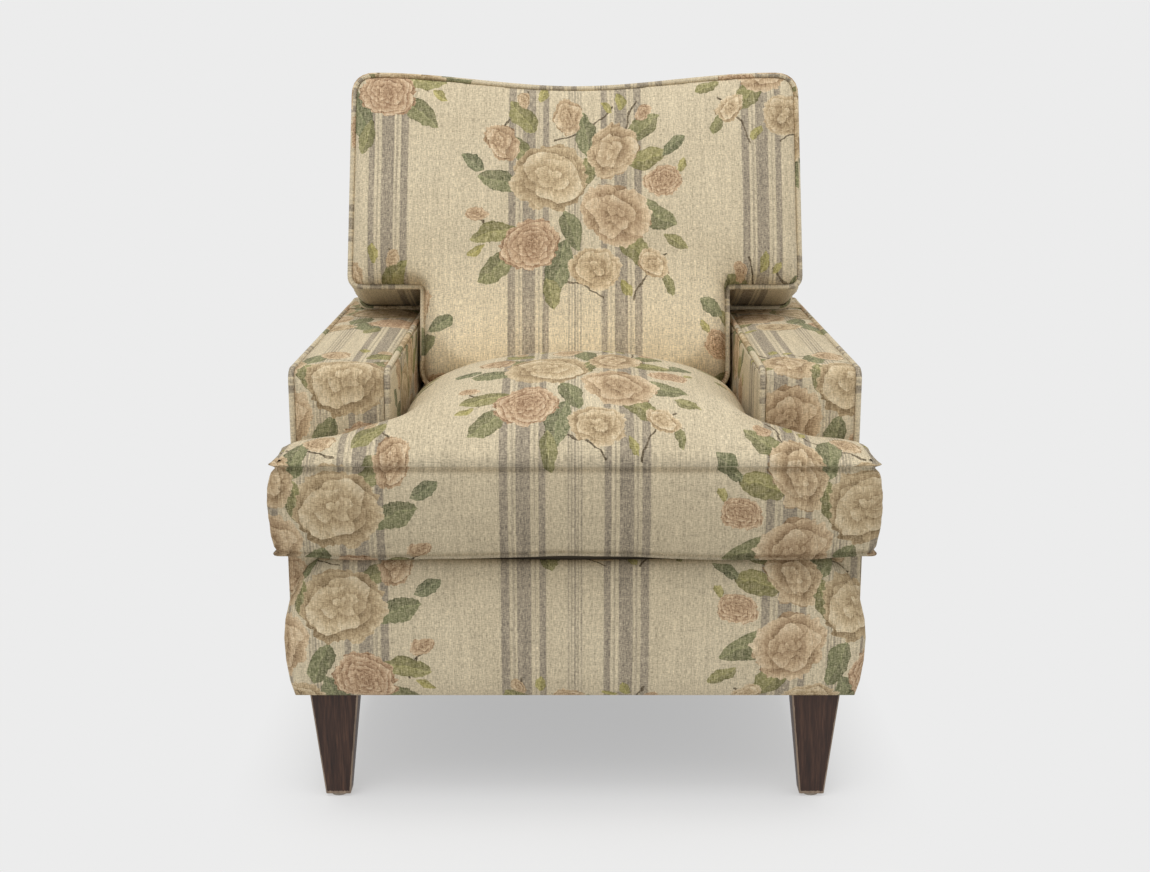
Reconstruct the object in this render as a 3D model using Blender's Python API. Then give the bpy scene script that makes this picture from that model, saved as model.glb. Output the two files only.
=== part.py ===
"""Upholstered armchair with a loose T seat cushion and a loose T back cushion.

Metres, +Z up, the front of the chair faces -Y and the origin is on the floor,
in the middle of the chair. Lengths towards the rear are counted from the front
plane of the front legs, and FRONT puts that plane in the chair's own frame.
"""
import math

import bmesh
import bpy
import numpy as np
from mathutils import Vector, geometry

FRONT = -0.3716            # front plane of the front legs
GAP = 0.0003               # gap between pieces that touch

# Base rails and corner blocks
FRAME_HALF_WIDTH = 0.3764
RAIL_HEIGHT = 0.170
FRONT_RAIL_THICKNESS = 0.040
BACK_RAIL_THICKNESS = 0.040
SIDE_RAIL_THICKNESS = 0.025
BLOCK_LEG = 0.070
BLOCK_HEIGHT = 0.060
BLOCK_LIFT = 0.006

# Legs, glides and hanger bolts
LEG_CENTRE_X = FRAME_HALF_WIDTH - 0.0519
LEG_TOP_Z = 0.1585
LEG_TOP_WIDTH = 0.067
LEG_FOOT_WIDTH = 0.034
LEG_TOP_DEPTH = 0.042
LEG_FOOT_DEPTH = 0.028
GLIDE_HEIGHT = 0.004
GLIDE_RADIUS = 0.011
BOLT_RADIUS = 0.004
BOLT_IN_LEG = 0.030
BOLT_IN_RAIL = 0.035
BORE_CLEARANCE = 0.0006

# Arms
ARM_PAD = 0.010            # thickness of the inside and outside arm panels
ARM_OUTER_X = FRAME_HALF_WIDTH + 2 * GAP + ARM_PAD
ARM_WIDTH = 0.1403
ARM_INNER_X = ARM_OUTER_X - ARM_WIDTH
ARM_TAPER = 0.0085         # how far its panel draws in beside the front border
ARM_TOP_Z = 0.583
ARM_FRONT = 0.0863
BAND_PAD = 0.0134          # thickness of the band down the arm's front
BAND_TOP_PAD = 0.0197      # thickness of the band along the arm's top
BAND_CORNER = 0.020
WELT_RADIUS = 0.0042
STUMP_THICKNESS = 0.022
ARM_BOARD_THICKNESS = 0.018

# Back frame
BACK_LEAN = math.radians(17.5)
BACK_RAKE = math.radians(6.0)
BACK_TOP_Z = 0.930
BACK_HALF_WIDTH = ARM_OUTER_X - 0.031
BACK_CORNER = 0.026
BACK_FOOT = 0.706          # outside back at the bottom, from the front plane
BACK_PAD = 0.015
BACK_SKIN = 0.010
POST_THICKNESS = 0.030
CROSS_RAIL_THICKNESS = 0.028
LOWER_RAIL_HEIGHT = 0.065
TOP_RAIL_HEIGHT = 0.050
STRAP_THICKNESS = 0.0018
STRAP_WIDTH = 0.050
STRAP_PITCH = 0.190

# Seat deck and springs
DECK_TOP_Z = 0.352
DECK_THICKNESS = 0.0175
SPRING_WIRE = 0.002
SPRING_PITCH = 0.113
SPRING_WIDTH = 0.052
SPRING_LOOP = 0.030
SPRING_SAG = 0.012
SPRING_COUNT = 4

# Front border and dust cover
BORDER_BOTTOM_Z = 0.157
BORDER_CORE = 0.012
BORDER_CROWN = 0.011
BORDER_FOOT_HALF_WIDTH = FRAME_HALF_WIDTH - 0.0044
BORDER_BULGE = 0.0126
BORDER_SHOULDER = 0.050    # how far the upper corners are rounded
BORDER_DRAW = 0.006        # how far the sides lean in above the bulge
DUST_THICKNESS = 0.0012
DUST_NOTCH_X = 0.095
DUST_NOTCH_Y = 0.060
DUST_INSET = 0.009

# Seat cushion
SEAT_SEAM_TOP_Z = 0.477
SEAT_SEAM_BOTTOM_Z = 0.359
SEAT_NOSE = -0.035         # front seam, from the front plane of the legs
SEAT_EAR_X = ARM_OUTER_X - 0.001
SEAT_EAR_SLACK = 0.22      # share of the crown missing over the ears
SEAT_SLACK_REACH = 0.120   # where it starts, in from the ear's end
SEAT_DOG_EAR = 0.002
SEAT_CLEARANCE = 0.003
SEAT_REAR = 0.536
SEAT_DOME_REAR = 0.402     # the dome ends where the back cushion sits
SEAT_CROWN = 0.104
SEAT_BULGE = 0.009
SEAT_SIDE_BULGE = 0.0022
ZIP_LENGTH = 0.400
ZIP_WIDTH = 0.026
ZIP_THICKNESS = 0.0012

# Back cushion, measured in its own leaning plane
BACK_SEAM_FOOT = 0.4397    # lower front seam, from the front plane
BACK_SEAM_FOOT_Z = 0.4875
CUSHION_THICKNESS = 0.135
CUSHION_STEM_X = ARM_INNER_X - 0.0102
CUSHION_EAR_X = BACK_HALF_WIDTH - 0.0045
CUSHION_EAR_TAPER = 0.004  # how much less wide the ears are at their top
CUSHION_NOTCH_V = 0.1665
CUSHION_CORNER_V = 0.4935
CUSHION_TOP_DIP = 0.022
CUSHION_TOP_CORNER = 0.030
CUSHION_LOW_CORNER = 0.026
CUSHION_EAR_CORNER = 0.016
CUSHION_CROWN = 0.052
CUSHION_REAR_CROWN = 0.003
CUSHION_BULGE = 0.009
CUSHION_SIDE_BULGE = 0.0022
WELT_CLEAR = 0.0018         # rear welt, clear of the inside back
CUSHION_FOOT_RISE = 0.0424  # the foot is level where it rests on the seat

CROWN_POWER = 0.57         # how full a stuffed cover is near its seam
FACET = 0.040              # spacing of the points on a cushion

COLOURS = {
    "linen": ((0.58, 0.50, 0.33), 0.92, 0.0),
    "walnut": ((0.040, 0.020, 0.012), 0.35, 0.0),
    "frame_wood": ((0.42, 0.28, 0.15), 0.60, 0.0),
    "steel": ((0.45, 0.45, 0.46), 0.35, 1.0),
    "webbing": ((0.36, 0.28, 0.17), 0.95, 0.0),
    "cambric": ((0.03, 0.03, 0.03), 0.95, 0.0),
    "glide": ((0.62, 0.60, 0.56), 0.45, 0.0),
}


def clear_scene():
    for obj in list(bpy.data.objects):
        bpy.data.objects.remove(obj, do_unlink=True)


def material(name, kind):
    colour, roughness, metallic = COLOURS[kind]
    mat = bpy.data.materials.new(name)
    mat.use_nodes = True
    shader = mat.node_tree.nodes["Principled BSDF"]
    shader.inputs["Base Color"].default_value = (*colour, 1.0)
    shader.inputs["Roughness"].default_value = roughness
    shader.inputs["Metallic"].default_value = metallic
    return mat


def add_object(name, data, kind):
    obj = bpy.data.objects.new(name, data)
    bpy.context.scene.collection.objects.link(obj)
    if not data.materials:
        data.materials.append(material(name, kind))
    return obj


def bevelled(obj, width, segments=1):
    bevel = obj.modifiers.new("Soft edges", "BEVEL")
    bevel.width = width
    bevel.segments = segments
    bevel.limit_method = "ANGLE"
    bevel.angle_limit = math.radians(40)
    return obj


def from_bmesh(name, bm, kind, smooth=False):
    bmesh.ops.recalc_face_normals(bm, faces=bm.faces)
    mesh = bpy.data.meshes.new(name)
    bm.to_mesh(mesh)
    bm.free()
    if smooth:
        mesh.shade_smooth()
    return add_object(name, mesh, kind)


def prism(name, outline, place, low, high, kind):
    """Extrude a flat outline; place turns (u, v, w) into a point."""
    bm = bmesh.new()
    verts = [bm.verts.new(place(u, v, low)) for u, v in outline]
    face = bm.faces.new(verts)
    grown = bmesh.ops.extrude_face_region(bm, geom=[face])
    far = [g for g in grown["geom"] if isinstance(g, bmesh.types.BMVert)]
    for vert, (u, v) in zip(far, [nearest(outline, g, place, low) for g in far]):
        vert.co = place(u, v, high)
    return from_bmesh(name, bm, kind)


def nearest(outline, vert, place, low):
    """Outline point that a freshly extruded vertex was copied from."""
    return min(outline, key=lambda p: (place(p[0], p[1], low) - vert.co).length)


def along_x(y, z, x):
    return Vector((x, y, z))


def along_z(x, y, z):
    return Vector((x, y, z))


def rectangle(left, right, low, high):
    return [(left, low), (right, low), (right, high), (left, high)]


def box(name, x_range, y_range, z_range, kind):
    outline = rectangle(*x_range, *y_range)
    return prism(name, outline, along_z, *z_range, kind)


def rounded(points, radii, steps=4):
    """Outline with the corner of each given radius turned into an arc."""
    result = []
    count = len(points)
    for i, (corner, radius) in enumerate(zip(points, radii)):
        here = Vector(corner)
        if radius == 0:
            result.append(tuple(here))
            continue
        before = (Vector(points[i - 1]) - here).normalized()
        after = (Vector(points[(i + 1) % count]) - here).normalized()
        reach = radius / math.tan(before.angle(after) / 2)
        start, end = here + before * reach, here + after * reach
        for k in range(steps + 1):
            t = k / steps
            blend = start.lerp(here, t).lerp(here.lerp(end, t), t)
            result.append(tuple(blend))
    return result


def subdivided(points, spacing):
    """Outline with points no further apart than the spacing."""
    result = []
    for a, b in zip(points, points[1:] + points[:1]):
        a, b = Vector(a), Vector(b)
        parts = max(1, round((b - a).length / spacing))
        result += [tuple(a.lerp(b, k / parts)) for k in range(parts)]
    return result


def tube(name, points, radius, kind, closed=False, resolution=1):
    """Round cord or wire along a row of points."""
    curve = bpy.data.curves.new(name, "CURVE")
    curve.dimensions = "3D"
    curve.bevel_depth = radius
    curve.bevel_resolution = resolution
    curve.use_fill_caps = True
    spline = curve.splines.new("POLY")
    spline.points.add(len(points) - 1)
    for point, place in zip(spline.points, points):
        point.co = (*place, 1.0)
    spline.use_cyclic_u = closed
    return add_object(name, curve, kind)


def inside(outline, x, y):
    """Mask of the points that lie within an outline."""
    ring = np.array(outline)
    mask = np.zeros(x.shape, bool)
    for (ax, ay), (bx, by) in zip(ring, np.roll(ring, -1, axis=0)):
        if ay == by:
            continue
        crosses = ((ay > y) != (by > y)) & (x < (bx - ax) * (y - ay) / (by - ay) + ax)
        mask ^= crosses
    return mask


def crown_over(outline, step=0.008, rounds=2500):
    """Height from 0 to 1 of a stuffed cover sewn down along the outline."""
    ring = np.array(outline)
    low = ring.min(axis=0) - step
    size = np.ceil((ring.max(axis=0) + step - low) / step).astype(int) + 1
    x, y = np.meshgrid(low[0] + step * np.arange(size[0]),
                       low[1] + step * np.arange(size[1]), indexing="ij")
    mask = inside(outline, x, y)
    lift = np.zeros(x.shape)
    for _ in range(rounds):
        mean = (np.roll(lift, 1, 0) + np.roll(lift, -1, 0)
                + np.roll(lift, 1, 1) + np.roll(lift, -1, 1)) / 4
        lift = np.where(mask, mean + 1.0, 0.0)
    lift = (lift / lift.max()) ** CROWN_POWER

    def height(px, py):
        gx, gy = (px - low[0]) / step, (py - low[1]) / step
        i, j = int(gx), int(gy)
        if not (0 <= i < size[0] - 1 and 0 <= j < size[1] - 1):
            return 0.0
        fx, fy = gx - i, gy - j
        near = lift[i, j] * (1 - fx) + lift[i + 1, j] * fx
        far = lift[i, j + 1] * (1 - fx) + lift[i + 1, j + 1] * fx
        return near * (1 - fy) + far * fy

    return height


def outward(outline):
    """Unit normals of a closed outline that runs anticlockwise."""
    normals = []
    for i, here in enumerate(outline):
        before = Vector(here) - Vector(outline[i - 1])
        after = Vector(outline[(i + 1) % len(outline)]) - Vector(here)
        along = before.normalized() + after.normalized()
        normals.append(Vector((along.y, -along.x)).normalized())
    return normals


def filled(outline, spacing):
    """Points and triangles of an outline with a grid of points inside."""
    ring = [Vector(p) for p in outline]
    xs, ys = [p.x for p in ring], [p.y for p in ring]
    points = list(ring)
    columns = max(2, round((max(xs) - min(xs)) / spacing))
    rows = max(2, round((max(ys) - min(ys)) / spacing))
    for i in range(1, columns):
        for j in range(1, rows):
            place = Vector((min(xs) + (max(xs) - min(xs)) * i / columns,
                            min(ys) + (max(ys) - min(ys)) * j / rows))
            clear = min((place - p).length for p in ring) > spacing * 0.55
            if clear and inside(outline, np.array(place.x), np.array(place.y)):
                points.append(place)
    found = geometry.delaunay_2d_cdt(points, [], [list(range(len(ring)))], 1, 1e-6)
    return found[0], found[2]


def cushion(name, outline, spacing, upper, lower, side, rings, place, kind):
    """Closed cushion: an upper and a lower skin and the boxing between them.

    upper and lower give the heights over (u, v); side moves an outline point
    for the share t of the way down the boxing.
    """
    normals = outward(outline)
    points, faces = filled(outline, spacing)
    count = len(outline)
    bm = bmesh.new()
    seam = [bm.verts.new(place(*side(p, n, 0.0))) for p, n in zip(outline, normals)]
    top = seam + [bm.verts.new(place(p.x, p.y, upper(p.x, p.y))) for p in points[count:]]
    levels = [seam]
    for k in range(1, rings):
        t = k / rings
        level = []
        for point, normal in zip(outline, normals):
            u, v, w = side(point, normal, t)
            level.append(bm.verts.new(place(u, v, w)))
        levels.append(level)
    base_ring = [side(p, n, 1.0) for p, n in zip(outline, normals)]
    base_points, base_faces = filled([(u, v) for u, v, w in base_ring], spacing)
    low_seam = [bm.verts.new(place(*point)) for point in base_ring]
    base = low_seam + [bm.verts.new(place(p.x, p.y, lower(p.x, p.y)))
                       for p in base_points[count:]]
    levels.append(low_seam)
    for face in faces:
        bm.faces.new([top[i] for i in face])
    for face in base_faces:
        bm.faces.new([base[i] for i in reversed(face)])
    for a, b in zip(levels, levels[1:]):
        for i in range(count):
            j = (i + 1) % count
            bm.faces.new((a[i], b[i], b[j], a[j]))
    return from_bmesh(name, bm, kind, smooth=True)


def both_sides(outline):
    """Closed anticlockwise outline from its right half, bottom to top."""
    left = [(-u, v) for u, v in reversed(outline)]
    return outline + left


def inside_back_y(z, depth=0.0):
    """Front surface of the leaning inside back, or a layer behind it."""
    behind = CUSHION_THICKNESS + CUSHION_REAR_CROWN + GAP + depth
    foot = FRONT + BACK_SEAM_FOOT + behind / math.cos(BACK_LEAN)
    return foot + (z - BACK_SEAM_FOOT_Z) * math.tan(BACK_LEAN)


def outside_back_y(z, depth=0.0):
    """Rear surface of the raked outside back, or a layer in front of it."""
    foot = FRONT + BACK_FOOT - depth / math.cos(BACK_RAKE)
    return foot + (z - BORDER_BOTTOM_Z) * math.tan(BACK_RAKE)


RAIL_BOTTOM = LEG_TOP_Z + GAP
RAIL_TOP = RAIL_BOTTOM + RAIL_HEIGHT
DECK_BOTTOM = DECK_TOP_Z - DECK_THICKNESS
PANEL_INNER_X = ARM_OUTER_X - ARM_PAD
POST_OUTER_X = BACK_HALF_WIDTH - BACK_SKIN - GAP
POST_INNER_X = POST_OUTER_X - POST_THICKNESS
WOOD_DEPTH = BACK_PAD + STRAP_THICKNESS + 2 * GAP
SKIN_DEPTH = BACK_SKIN + GAP
BAND_UNDER_Z = ARM_TOP_Z - BAND_TOP_PAD
PANEL_TOP_Z = ARM_TOP_Z - 2 * WELT_RADIUS - 3 * GAP
BAND_INNER_X = ARM_INNER_X + ARM_PAD + GAP
BAND_OUTER_X = PANEL_INNER_X - GAP
BACK_RAIL_REAR = outside_back_y(RAIL_BOTTOM, SKIN_DEPTH)
REAR_LEG_Y = outside_back_y(BORDER_BOTTOM_Z, SKIN_DEPTH) - LEG_TOP_DEPTH / 2 - GAP
FRONT_LEG_Y = FRONT + LEG_TOP_DEPTH / 2 + GAP


def leg_sites():
    return {
        "front_left": (-LEG_CENTRE_X, FRONT_LEG_Y),
        "front_right": (LEG_CENTRE_X, FRONT_LEG_Y),
        "rear_left": (-LEG_CENTRE_X, REAR_LEG_Y),
        "rear_right": (LEG_CENTRE_X, REAR_LEG_Y),
    }


def drill(obj, sites, low, high, radius):
    """Cut upright round bores through an object."""
    for x, y in sites:
        bpy.ops.mesh.primitive_cylinder_add(
            vertices=12, radius=radius, depth=high - low,
            location=(x, y, (low + high) / 2))
        cutter = bpy.context.object
        cutter.name = "bore_guide_" + obj.name
        cutter.hide_render = True
        cutter.display_type = "WIRE"
        cut = obj.modifiers.new("Bore", "BOOLEAN")
        cut.operation = "DIFFERENCE"
        cut.object = cutter


def make_leg(name, x, y):
    """Square tapered leg, narrower at the foot on all four sides."""
    bm = bmesh.new()
    foot_z = GLIDE_HEIGHT + GAP
    rings = []
    for width, depth, z in ((LEG_FOOT_WIDTH, LEG_FOOT_DEPTH, foot_z),
                            (LEG_TOP_WIDTH, LEG_TOP_DEPTH, LEG_TOP_Z)):
        corners = rectangle(-width / 2, width / 2, -depth / 2, depth / 2)
        rings.append([bm.verts.new((x + u, y + v, z)) for u, v in corners])
    bm.faces.new(reversed(rings[0]))
    bm.faces.new(rings[1])
    for i in range(4):
        j = (i + 1) % 4
        bm.faces.new((rings[0][i], rings[0][j], rings[1][j], rings[1][i]))
    leg = bevelled(from_bmesh(name, bm, "walnut"), 0.0016)
    drill(leg, [(x, y)], LEG_TOP_Z - BOLT_IN_LEG - GAP, LEG_TOP_Z + BOLT_IN_LEG,
          BOLT_RADIUS + BORE_CLEARANCE)
    return leg


def make_legs():
    for corner, (x, y) in leg_sites().items():
        make_leg(corner + "_leg", x, y)
        bpy.ops.mesh.primitive_cylinder_add(
            vertices=16, radius=GLIDE_RADIUS, depth=GLIDE_HEIGHT,
            location=(x, y, GLIDE_HEIGHT / 2))
        glide = bpy.context.object
        glide.name = corner + "_glide"
        glide.data.materials.append(material(glide.name, "glide"))
        bpy.ops.mesh.primitive_cylinder_add(
            vertices=12, radius=BOLT_RADIUS, depth=BOLT_IN_LEG + BOLT_IN_RAIL,
            location=(x, y, LEG_TOP_Z + (BOLT_IN_RAIL - BOLT_IN_LEG) / 2))
        bolt = bpy.context.object
        bolt.name = corner + "_hanger_bolt"
        bolt.data.materials.append(material(bolt.name, "steel"))
        for piece in (glide, bolt):
            piece.data.shade_smooth()
            piece.data.set_sharp_from_angle(angle=math.radians(40))


def make_base_rails():
    """Front, back and side rails; the front and back ones take the bolts."""
    sites = leg_sites()
    bore_top = LEG_TOP_Z + BOLT_IN_RAIL + 2 * GAP
    bore_radius = BOLT_RADIUS + BORE_CLEARANCE
    front_rail = box("front_rail", (-FRAME_HALF_WIDTH, FRAME_HALF_WIDTH),
                     (FRONT + GAP, FRONT + FRONT_RAIL_THICKNESS),
                     (RAIL_BOTTOM, RAIL_TOP), "frame_wood")
    drill(front_rail, [sites["front_left"], sites["front_right"]],
          RAIL_BOTTOM - BOLT_RADIUS, bore_top, bore_radius)
    top_rear = outside_back_y(RAIL_TOP, SKIN_DEPTH)
    section = [(BACK_RAIL_REAR - BACK_RAIL_THICKNESS, RAIL_BOTTOM), (BACK_RAIL_REAR, RAIL_BOTTOM),
               (top_rear, RAIL_TOP), (top_rear - BACK_RAIL_THICKNESS, RAIL_TOP)]
    back_rail = prism("back_rail", section, along_x, -FRAME_HALF_WIDTH, FRAME_HALF_WIDTH,
                      "frame_wood")
    drill(back_rail, [sites["rear_left"], sites["rear_right"]],
          RAIL_BOTTOM - BOLT_RADIUS, bore_top, bore_radius)
    front_end = FRONT + FRONT_RAIL_THICKNESS + GAP
    side = [(front_end, RAIL_BOTTOM), (BACK_RAIL_REAR - BACK_RAIL_THICKNESS - GAP, RAIL_BOTTOM),
            (top_rear - BACK_RAIL_THICKNESS - GAP, RAIL_TOP), (front_end, RAIL_TOP)]
    for name, sign in (("left", -1), ("right", 1)):
        prism(name + "_side_rail", side, along_x, sign * (FRAME_HALF_WIDTH - SIDE_RAIL_THICKNESS),
              sign * FRAME_HALF_WIDTH, "frame_wood")


def make_corner_blocks():
    """Triangular blocks glued into the four corners of the base."""
    corner_x = FRAME_HALF_WIDTH - SIDE_RAIL_THICKNESS - GAP
    front_y = FRONT + FRONT_RAIL_THICKNESS + GAP
    low = RAIL_BOTTOM + BLOCK_LIFT
    rear_y = BACK_RAIL_REAR - BACK_RAIL_THICKNESS - GAP
    for side, sx in (("left", -1), ("right", 1)):
        for end, y, sy in (("front", front_y, 1), ("rear", rear_y, -1)):
            triangle = [(sx * corner_x, y), (sx * (corner_x - BLOCK_LEG), y),
                        (sx * corner_x, y + sy * BLOCK_LEG)]
            prism(f"{end}_{side}_corner_block", triangle, along_z, low,
                  low + BLOCK_HEIGHT, "frame_wood")


def make_arm_frame(name, sign):
    """Front stump and top board inside one arm."""
    stump_front = FRONT + ARM_FRONT + BAND_PAD + GAP
    board_top = BAND_UNDER_Z - GAP
    board_bottom = board_top - ARM_BOARD_THICKNESS
    x_range = sorted((sign * BAND_INNER_X, sign * BAND_OUTER_X))
    box(name + "_arm_stump", x_range, (stump_front, stump_front + STUMP_THICKNESS),
        (RAIL_TOP + GAP, board_bottom - GAP), "frame_wood")
    board = [(stump_front, board_bottom), (inside_back_y(board_bottom, WOOD_DEPTH) - GAP, board_bottom),
             (inside_back_y(board_top, WOOD_DEPTH) - GAP, board_top), (stump_front, board_top)]
    prism(name + "_arm_board", board, along_x, *x_range, "frame_wood")


def make_outside_arm(name, sign):
    """Outside arm panel, with the low part that runs forward beside the seat."""
    front = FRONT + GAP
    arm_front = FRONT + ARM_FRONT + 2 * WELT_RADIUS + 3 * GAP
    outline = [(front, BORDER_BOTTOM_Z), (outside_back_y(BORDER_BOTTOM_Z, SKIN_DEPTH), BORDER_BOTTOM_Z),
               (outside_back_y(PANEL_TOP_Z, SKIN_DEPTH), PANEL_TOP_Z), (arm_front, PANEL_TOP_Z),
               (arm_front, DECK_TOP_Z), (front, DECK_TOP_Z)]
    outline = rounded(outline, [0, 0, 0, BAND_CORNER - 2 * WELT_RADIUS, 0, 0.004], 3)
    panel = prism(name + "_outside_arm", outline, along_x, sign * PANEL_INNER_X,
                  sign * ARM_OUTER_X, "linen")
    draw_in(panel, front, arm_front - WELT_RADIUS, sign)
    return bevelled(panel, 0.0012)


def draw_in(panel, front, hinge, sign):
    """Taper the outer face of an outside arm from the hinge to its front edge."""
    bm = bmesh.new()
    bm.from_mesh(panel.data)
    bmesh.ops.bisect_plane(bm, geom=bm.verts[:] + bm.edges[:] + bm.faces[:],
                           plane_co=(0, hinge, 0), plane_no=(0, 1, 0))
    for vert in bm.verts:
        share = max(0.0, (hinge - vert.co.y) / (hinge - front))
        if abs(vert.co.x) > PANEL_INNER_X + GAP:
            vert.co.x -= sign * ARM_TAPER * share
    bm.to_mesh(panel.data)
    bm.free()


def make_inside_arm(name, sign):
    """Inside arm panel between the seat deck and the arm's top."""
    arm_front = FRONT + ARM_FRONT + 2 * WELT_RADIUS + 3 * GAP
    low = DECK_TOP_Z + GAP
    past_back = WOOD_DEPTH - 2 * GAP
    outline = [(arm_front, low), (inside_back_y(low, past_back), low),
               (inside_back_y(PANEL_TOP_Z, past_back), PANEL_TOP_Z), (arm_front, PANEL_TOP_Z)]
    outline = rounded(outline, [0, 0, 0, BAND_CORNER - 2 * WELT_RADIUS], 3)
    panel = prism(name + "_inside_arm", outline, along_x, sign * ARM_INNER_X,
                  sign * (ARM_INNER_X + ARM_PAD), "linen")
    return bevelled(panel, 0.0012)


def make_arm_band(name, sign):
    """One padded band over the arm's top and down its front."""
    rear = inside_back_y(BAND_UNDER_Z, WOOD_DEPTH) - GAP
    front = FRONT + ARM_FRONT
    low = DECK_TOP_Z + GAP
    outline = [(front, low), (front + BAND_PAD, low), (front + BAND_PAD, BAND_UNDER_Z),
               (rear, BAND_UNDER_Z), (rear, ARM_TOP_Z), (front, ARM_TOP_Z)]
    outline = rounded(outline, [0, 0, 0, 0, 0, BAND_CORNER], 4)
    return prism(name + "_arm_band", outline, along_x, sign * BAND_INNER_X,
                 sign * BAND_OUTER_X, "linen")


def make_arm_rear_strip(name, sign):
    """Top of the arm beside the back, down to the outside back."""
    start = inside_back_y(BAND_UNDER_Z, WOOD_DEPTH)
    outline = [(start, BAND_UNDER_Z), (outside_back_y(BAND_UNDER_Z, SKIN_DEPTH), BAND_UNDER_Z),
               (outside_back_y(ARM_TOP_Z, SKIN_DEPTH), ARM_TOP_Z), (start, ARM_TOP_Z)]
    return prism(name + "_arm_rear_strip", outline, along_x, sign * (BACK_HALF_WIDTH + GAP),
                 sign * BAND_OUTER_X, "linen")


def arm_welt_path(x, rear):
    """Up the arm's front edge, round its corner and back along its top edge."""
    y = FRONT + ARM_FRONT + WELT_RADIUS
    z = ARM_TOP_Z - WELT_RADIUS - GAP
    low = DECK_TOP_Z + GAP
    bend = rounded([(y, low), (y, z), (rear, z)], [0, BAND_CORNER - WELT_RADIUS, 0], 5)
    return [(x, py, pz) for py, pz in bend]


def make_arm_welts(name, sign):
    reach = WELT_RADIUS + GAP
    inner_rear = inside_back_y(ARM_TOP_Z) - GAP
    outer_rear = outside_back_y(ARM_TOP_Z - 2 * WELT_RADIUS, SKIN_DEPTH) - GAP
    tube(name + "_arm_inner_welt", arm_welt_path(sign * (BAND_INNER_X - reach), inner_rear),
         WELT_RADIUS, "linen")
    tube(name + "_arm_outer_welt", arm_welt_path(sign * (BAND_OUTER_X + reach), outer_rear),
         WELT_RADIUS, "linen")


def make_arms():
    for name, sign in (("left", -1), ("right", 1)):
        make_arm_frame(name, sign)
        make_outside_arm(name, sign)
        make_inside_arm(name, sign)
        make_arm_band(name, sign)
        make_arm_rear_strip(name, sign)
        make_arm_welts(name, sign)


def layer(low, high, front_depth, rear_depth):
    """Section between a layer of the inside back and one of the outside back."""
    return [(inside_back_y(low, front_depth), low), (outside_back_y(low, rear_depth), low),
            (outside_back_y(high, rear_depth), high), (inside_back_y(high, front_depth), high)]


def make_back_frame():
    """Two leaning posts with a lower and a top rail between them."""
    post_top = BACK_TOP_Z - BACK_PAD - GAP
    post = layer(RAIL_TOP + GAP, post_top, WOOD_DEPTH, SKIN_DEPTH)
    for name, sign in (("left", -1), ("right", 1)):
        prism(name + "_back_post", post, along_x, sign * POST_INNER_X, sign * POST_OUTER_X,
              "frame_wood")
    span = POST_INNER_X - GAP
    bottom, top = DECK_TOP_Z, DECK_TOP_Z + LOWER_RAIL_HEIGHT
    front = [inside_back_y(z, WOOD_DEPTH) for z in (bottom, top)]
    lower = [(front[0], bottom), (front[0] + CROSS_RAIL_THICKNESS, bottom),
             (front[1] + CROSS_RAIL_THICKNESS, top), (front[1], top)]
    prism("back_lower_rail", lower, along_x, -span, span, "frame_wood")
    upper = layer(post_top - TOP_RAIL_HEIGHT, post_top, WOOD_DEPTH, SKIN_DEPTH)
    prism("back_top_rail", upper, along_x, -span, span, "frame_wood")


def make_back_straps():
    """Woven straps stretched from the top rail to the lower rail."""
    top = BACK_TOP_Z - BACK_PAD - 2 * GAP
    behind = BACK_PAD + GAP
    for i in range(3):
        centre = (i - 1) * STRAP_PITCH
        section = [(inside_back_y(DECK_TOP_Z, behind), DECK_TOP_Z),
                   (inside_back_y(DECK_TOP_Z, behind + STRAP_THICKNESS), DECK_TOP_Z),
                   (inside_back_y(top, behind + STRAP_THICKNESS), top), (inside_back_y(top, behind), top)]
        prism(f"back_strap_{i + 1}", section, along_x, centre - STRAP_WIDTH / 2,
              centre + STRAP_WIDTH / 2, "webbing")


def tee_outline(stem_x, ear_x, low, notch, top, corner):
    """Right half of a T whose ears start at the notch."""
    right = [(stem_x, low), (stem_x, notch), (ear_x, notch), (ear_x, top)]
    return rounded([(0.0, low)] + right + [(0.0, top)], [0, 0, 0, 0, corner, 0], 4)[1:-1]


def make_inside_back():
    """Padded inside back, a T between and above the arms."""
    right = tee_outline(ARM_INNER_X - GAP, BACK_HALF_WIDTH, DECK_TOP_Z + GAP,
                        ARM_TOP_Z + 2 * GAP, BACK_TOP_Z, BACK_CORNER)
    outline = both_sides(right)

    def place(x, z, depth):
        return Vector((x, inside_back_y(z, depth), z))

    return prism("inside_back", outline, place, 0.0, BACK_PAD, "linen")


def make_back_top_facing():
    """Strip over the top of the back frame, turned down round its corners."""
    inner_x = BACK_HALF_WIDTH - BACK_SKIN
    low = BACK_TOP_Z - BACK_PAD
    side_top = BACK_TOP_Z - BACK_CORNER + GAP
    right = [(inner_x, low), (inner_x, side_top), (BACK_HALF_WIDTH, side_top),
             (BACK_HALF_WIDTH, BACK_TOP_Z), (0.0, BACK_TOP_Z)]
    right = rounded(right, [0, 0, 0, BACK_CORNER - GAP, 0], 4)[:-1]

    def place(x, z, share):
        front, rear = inside_back_y(z, BACK_PAD + GAP), outside_back_y(z, SKIN_DEPTH)
        return Vector((x, front + (rear - front) * share, z))

    return prism("back_top_facing", both_sides(right), place, 0.0, 1.0, "linen")


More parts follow.
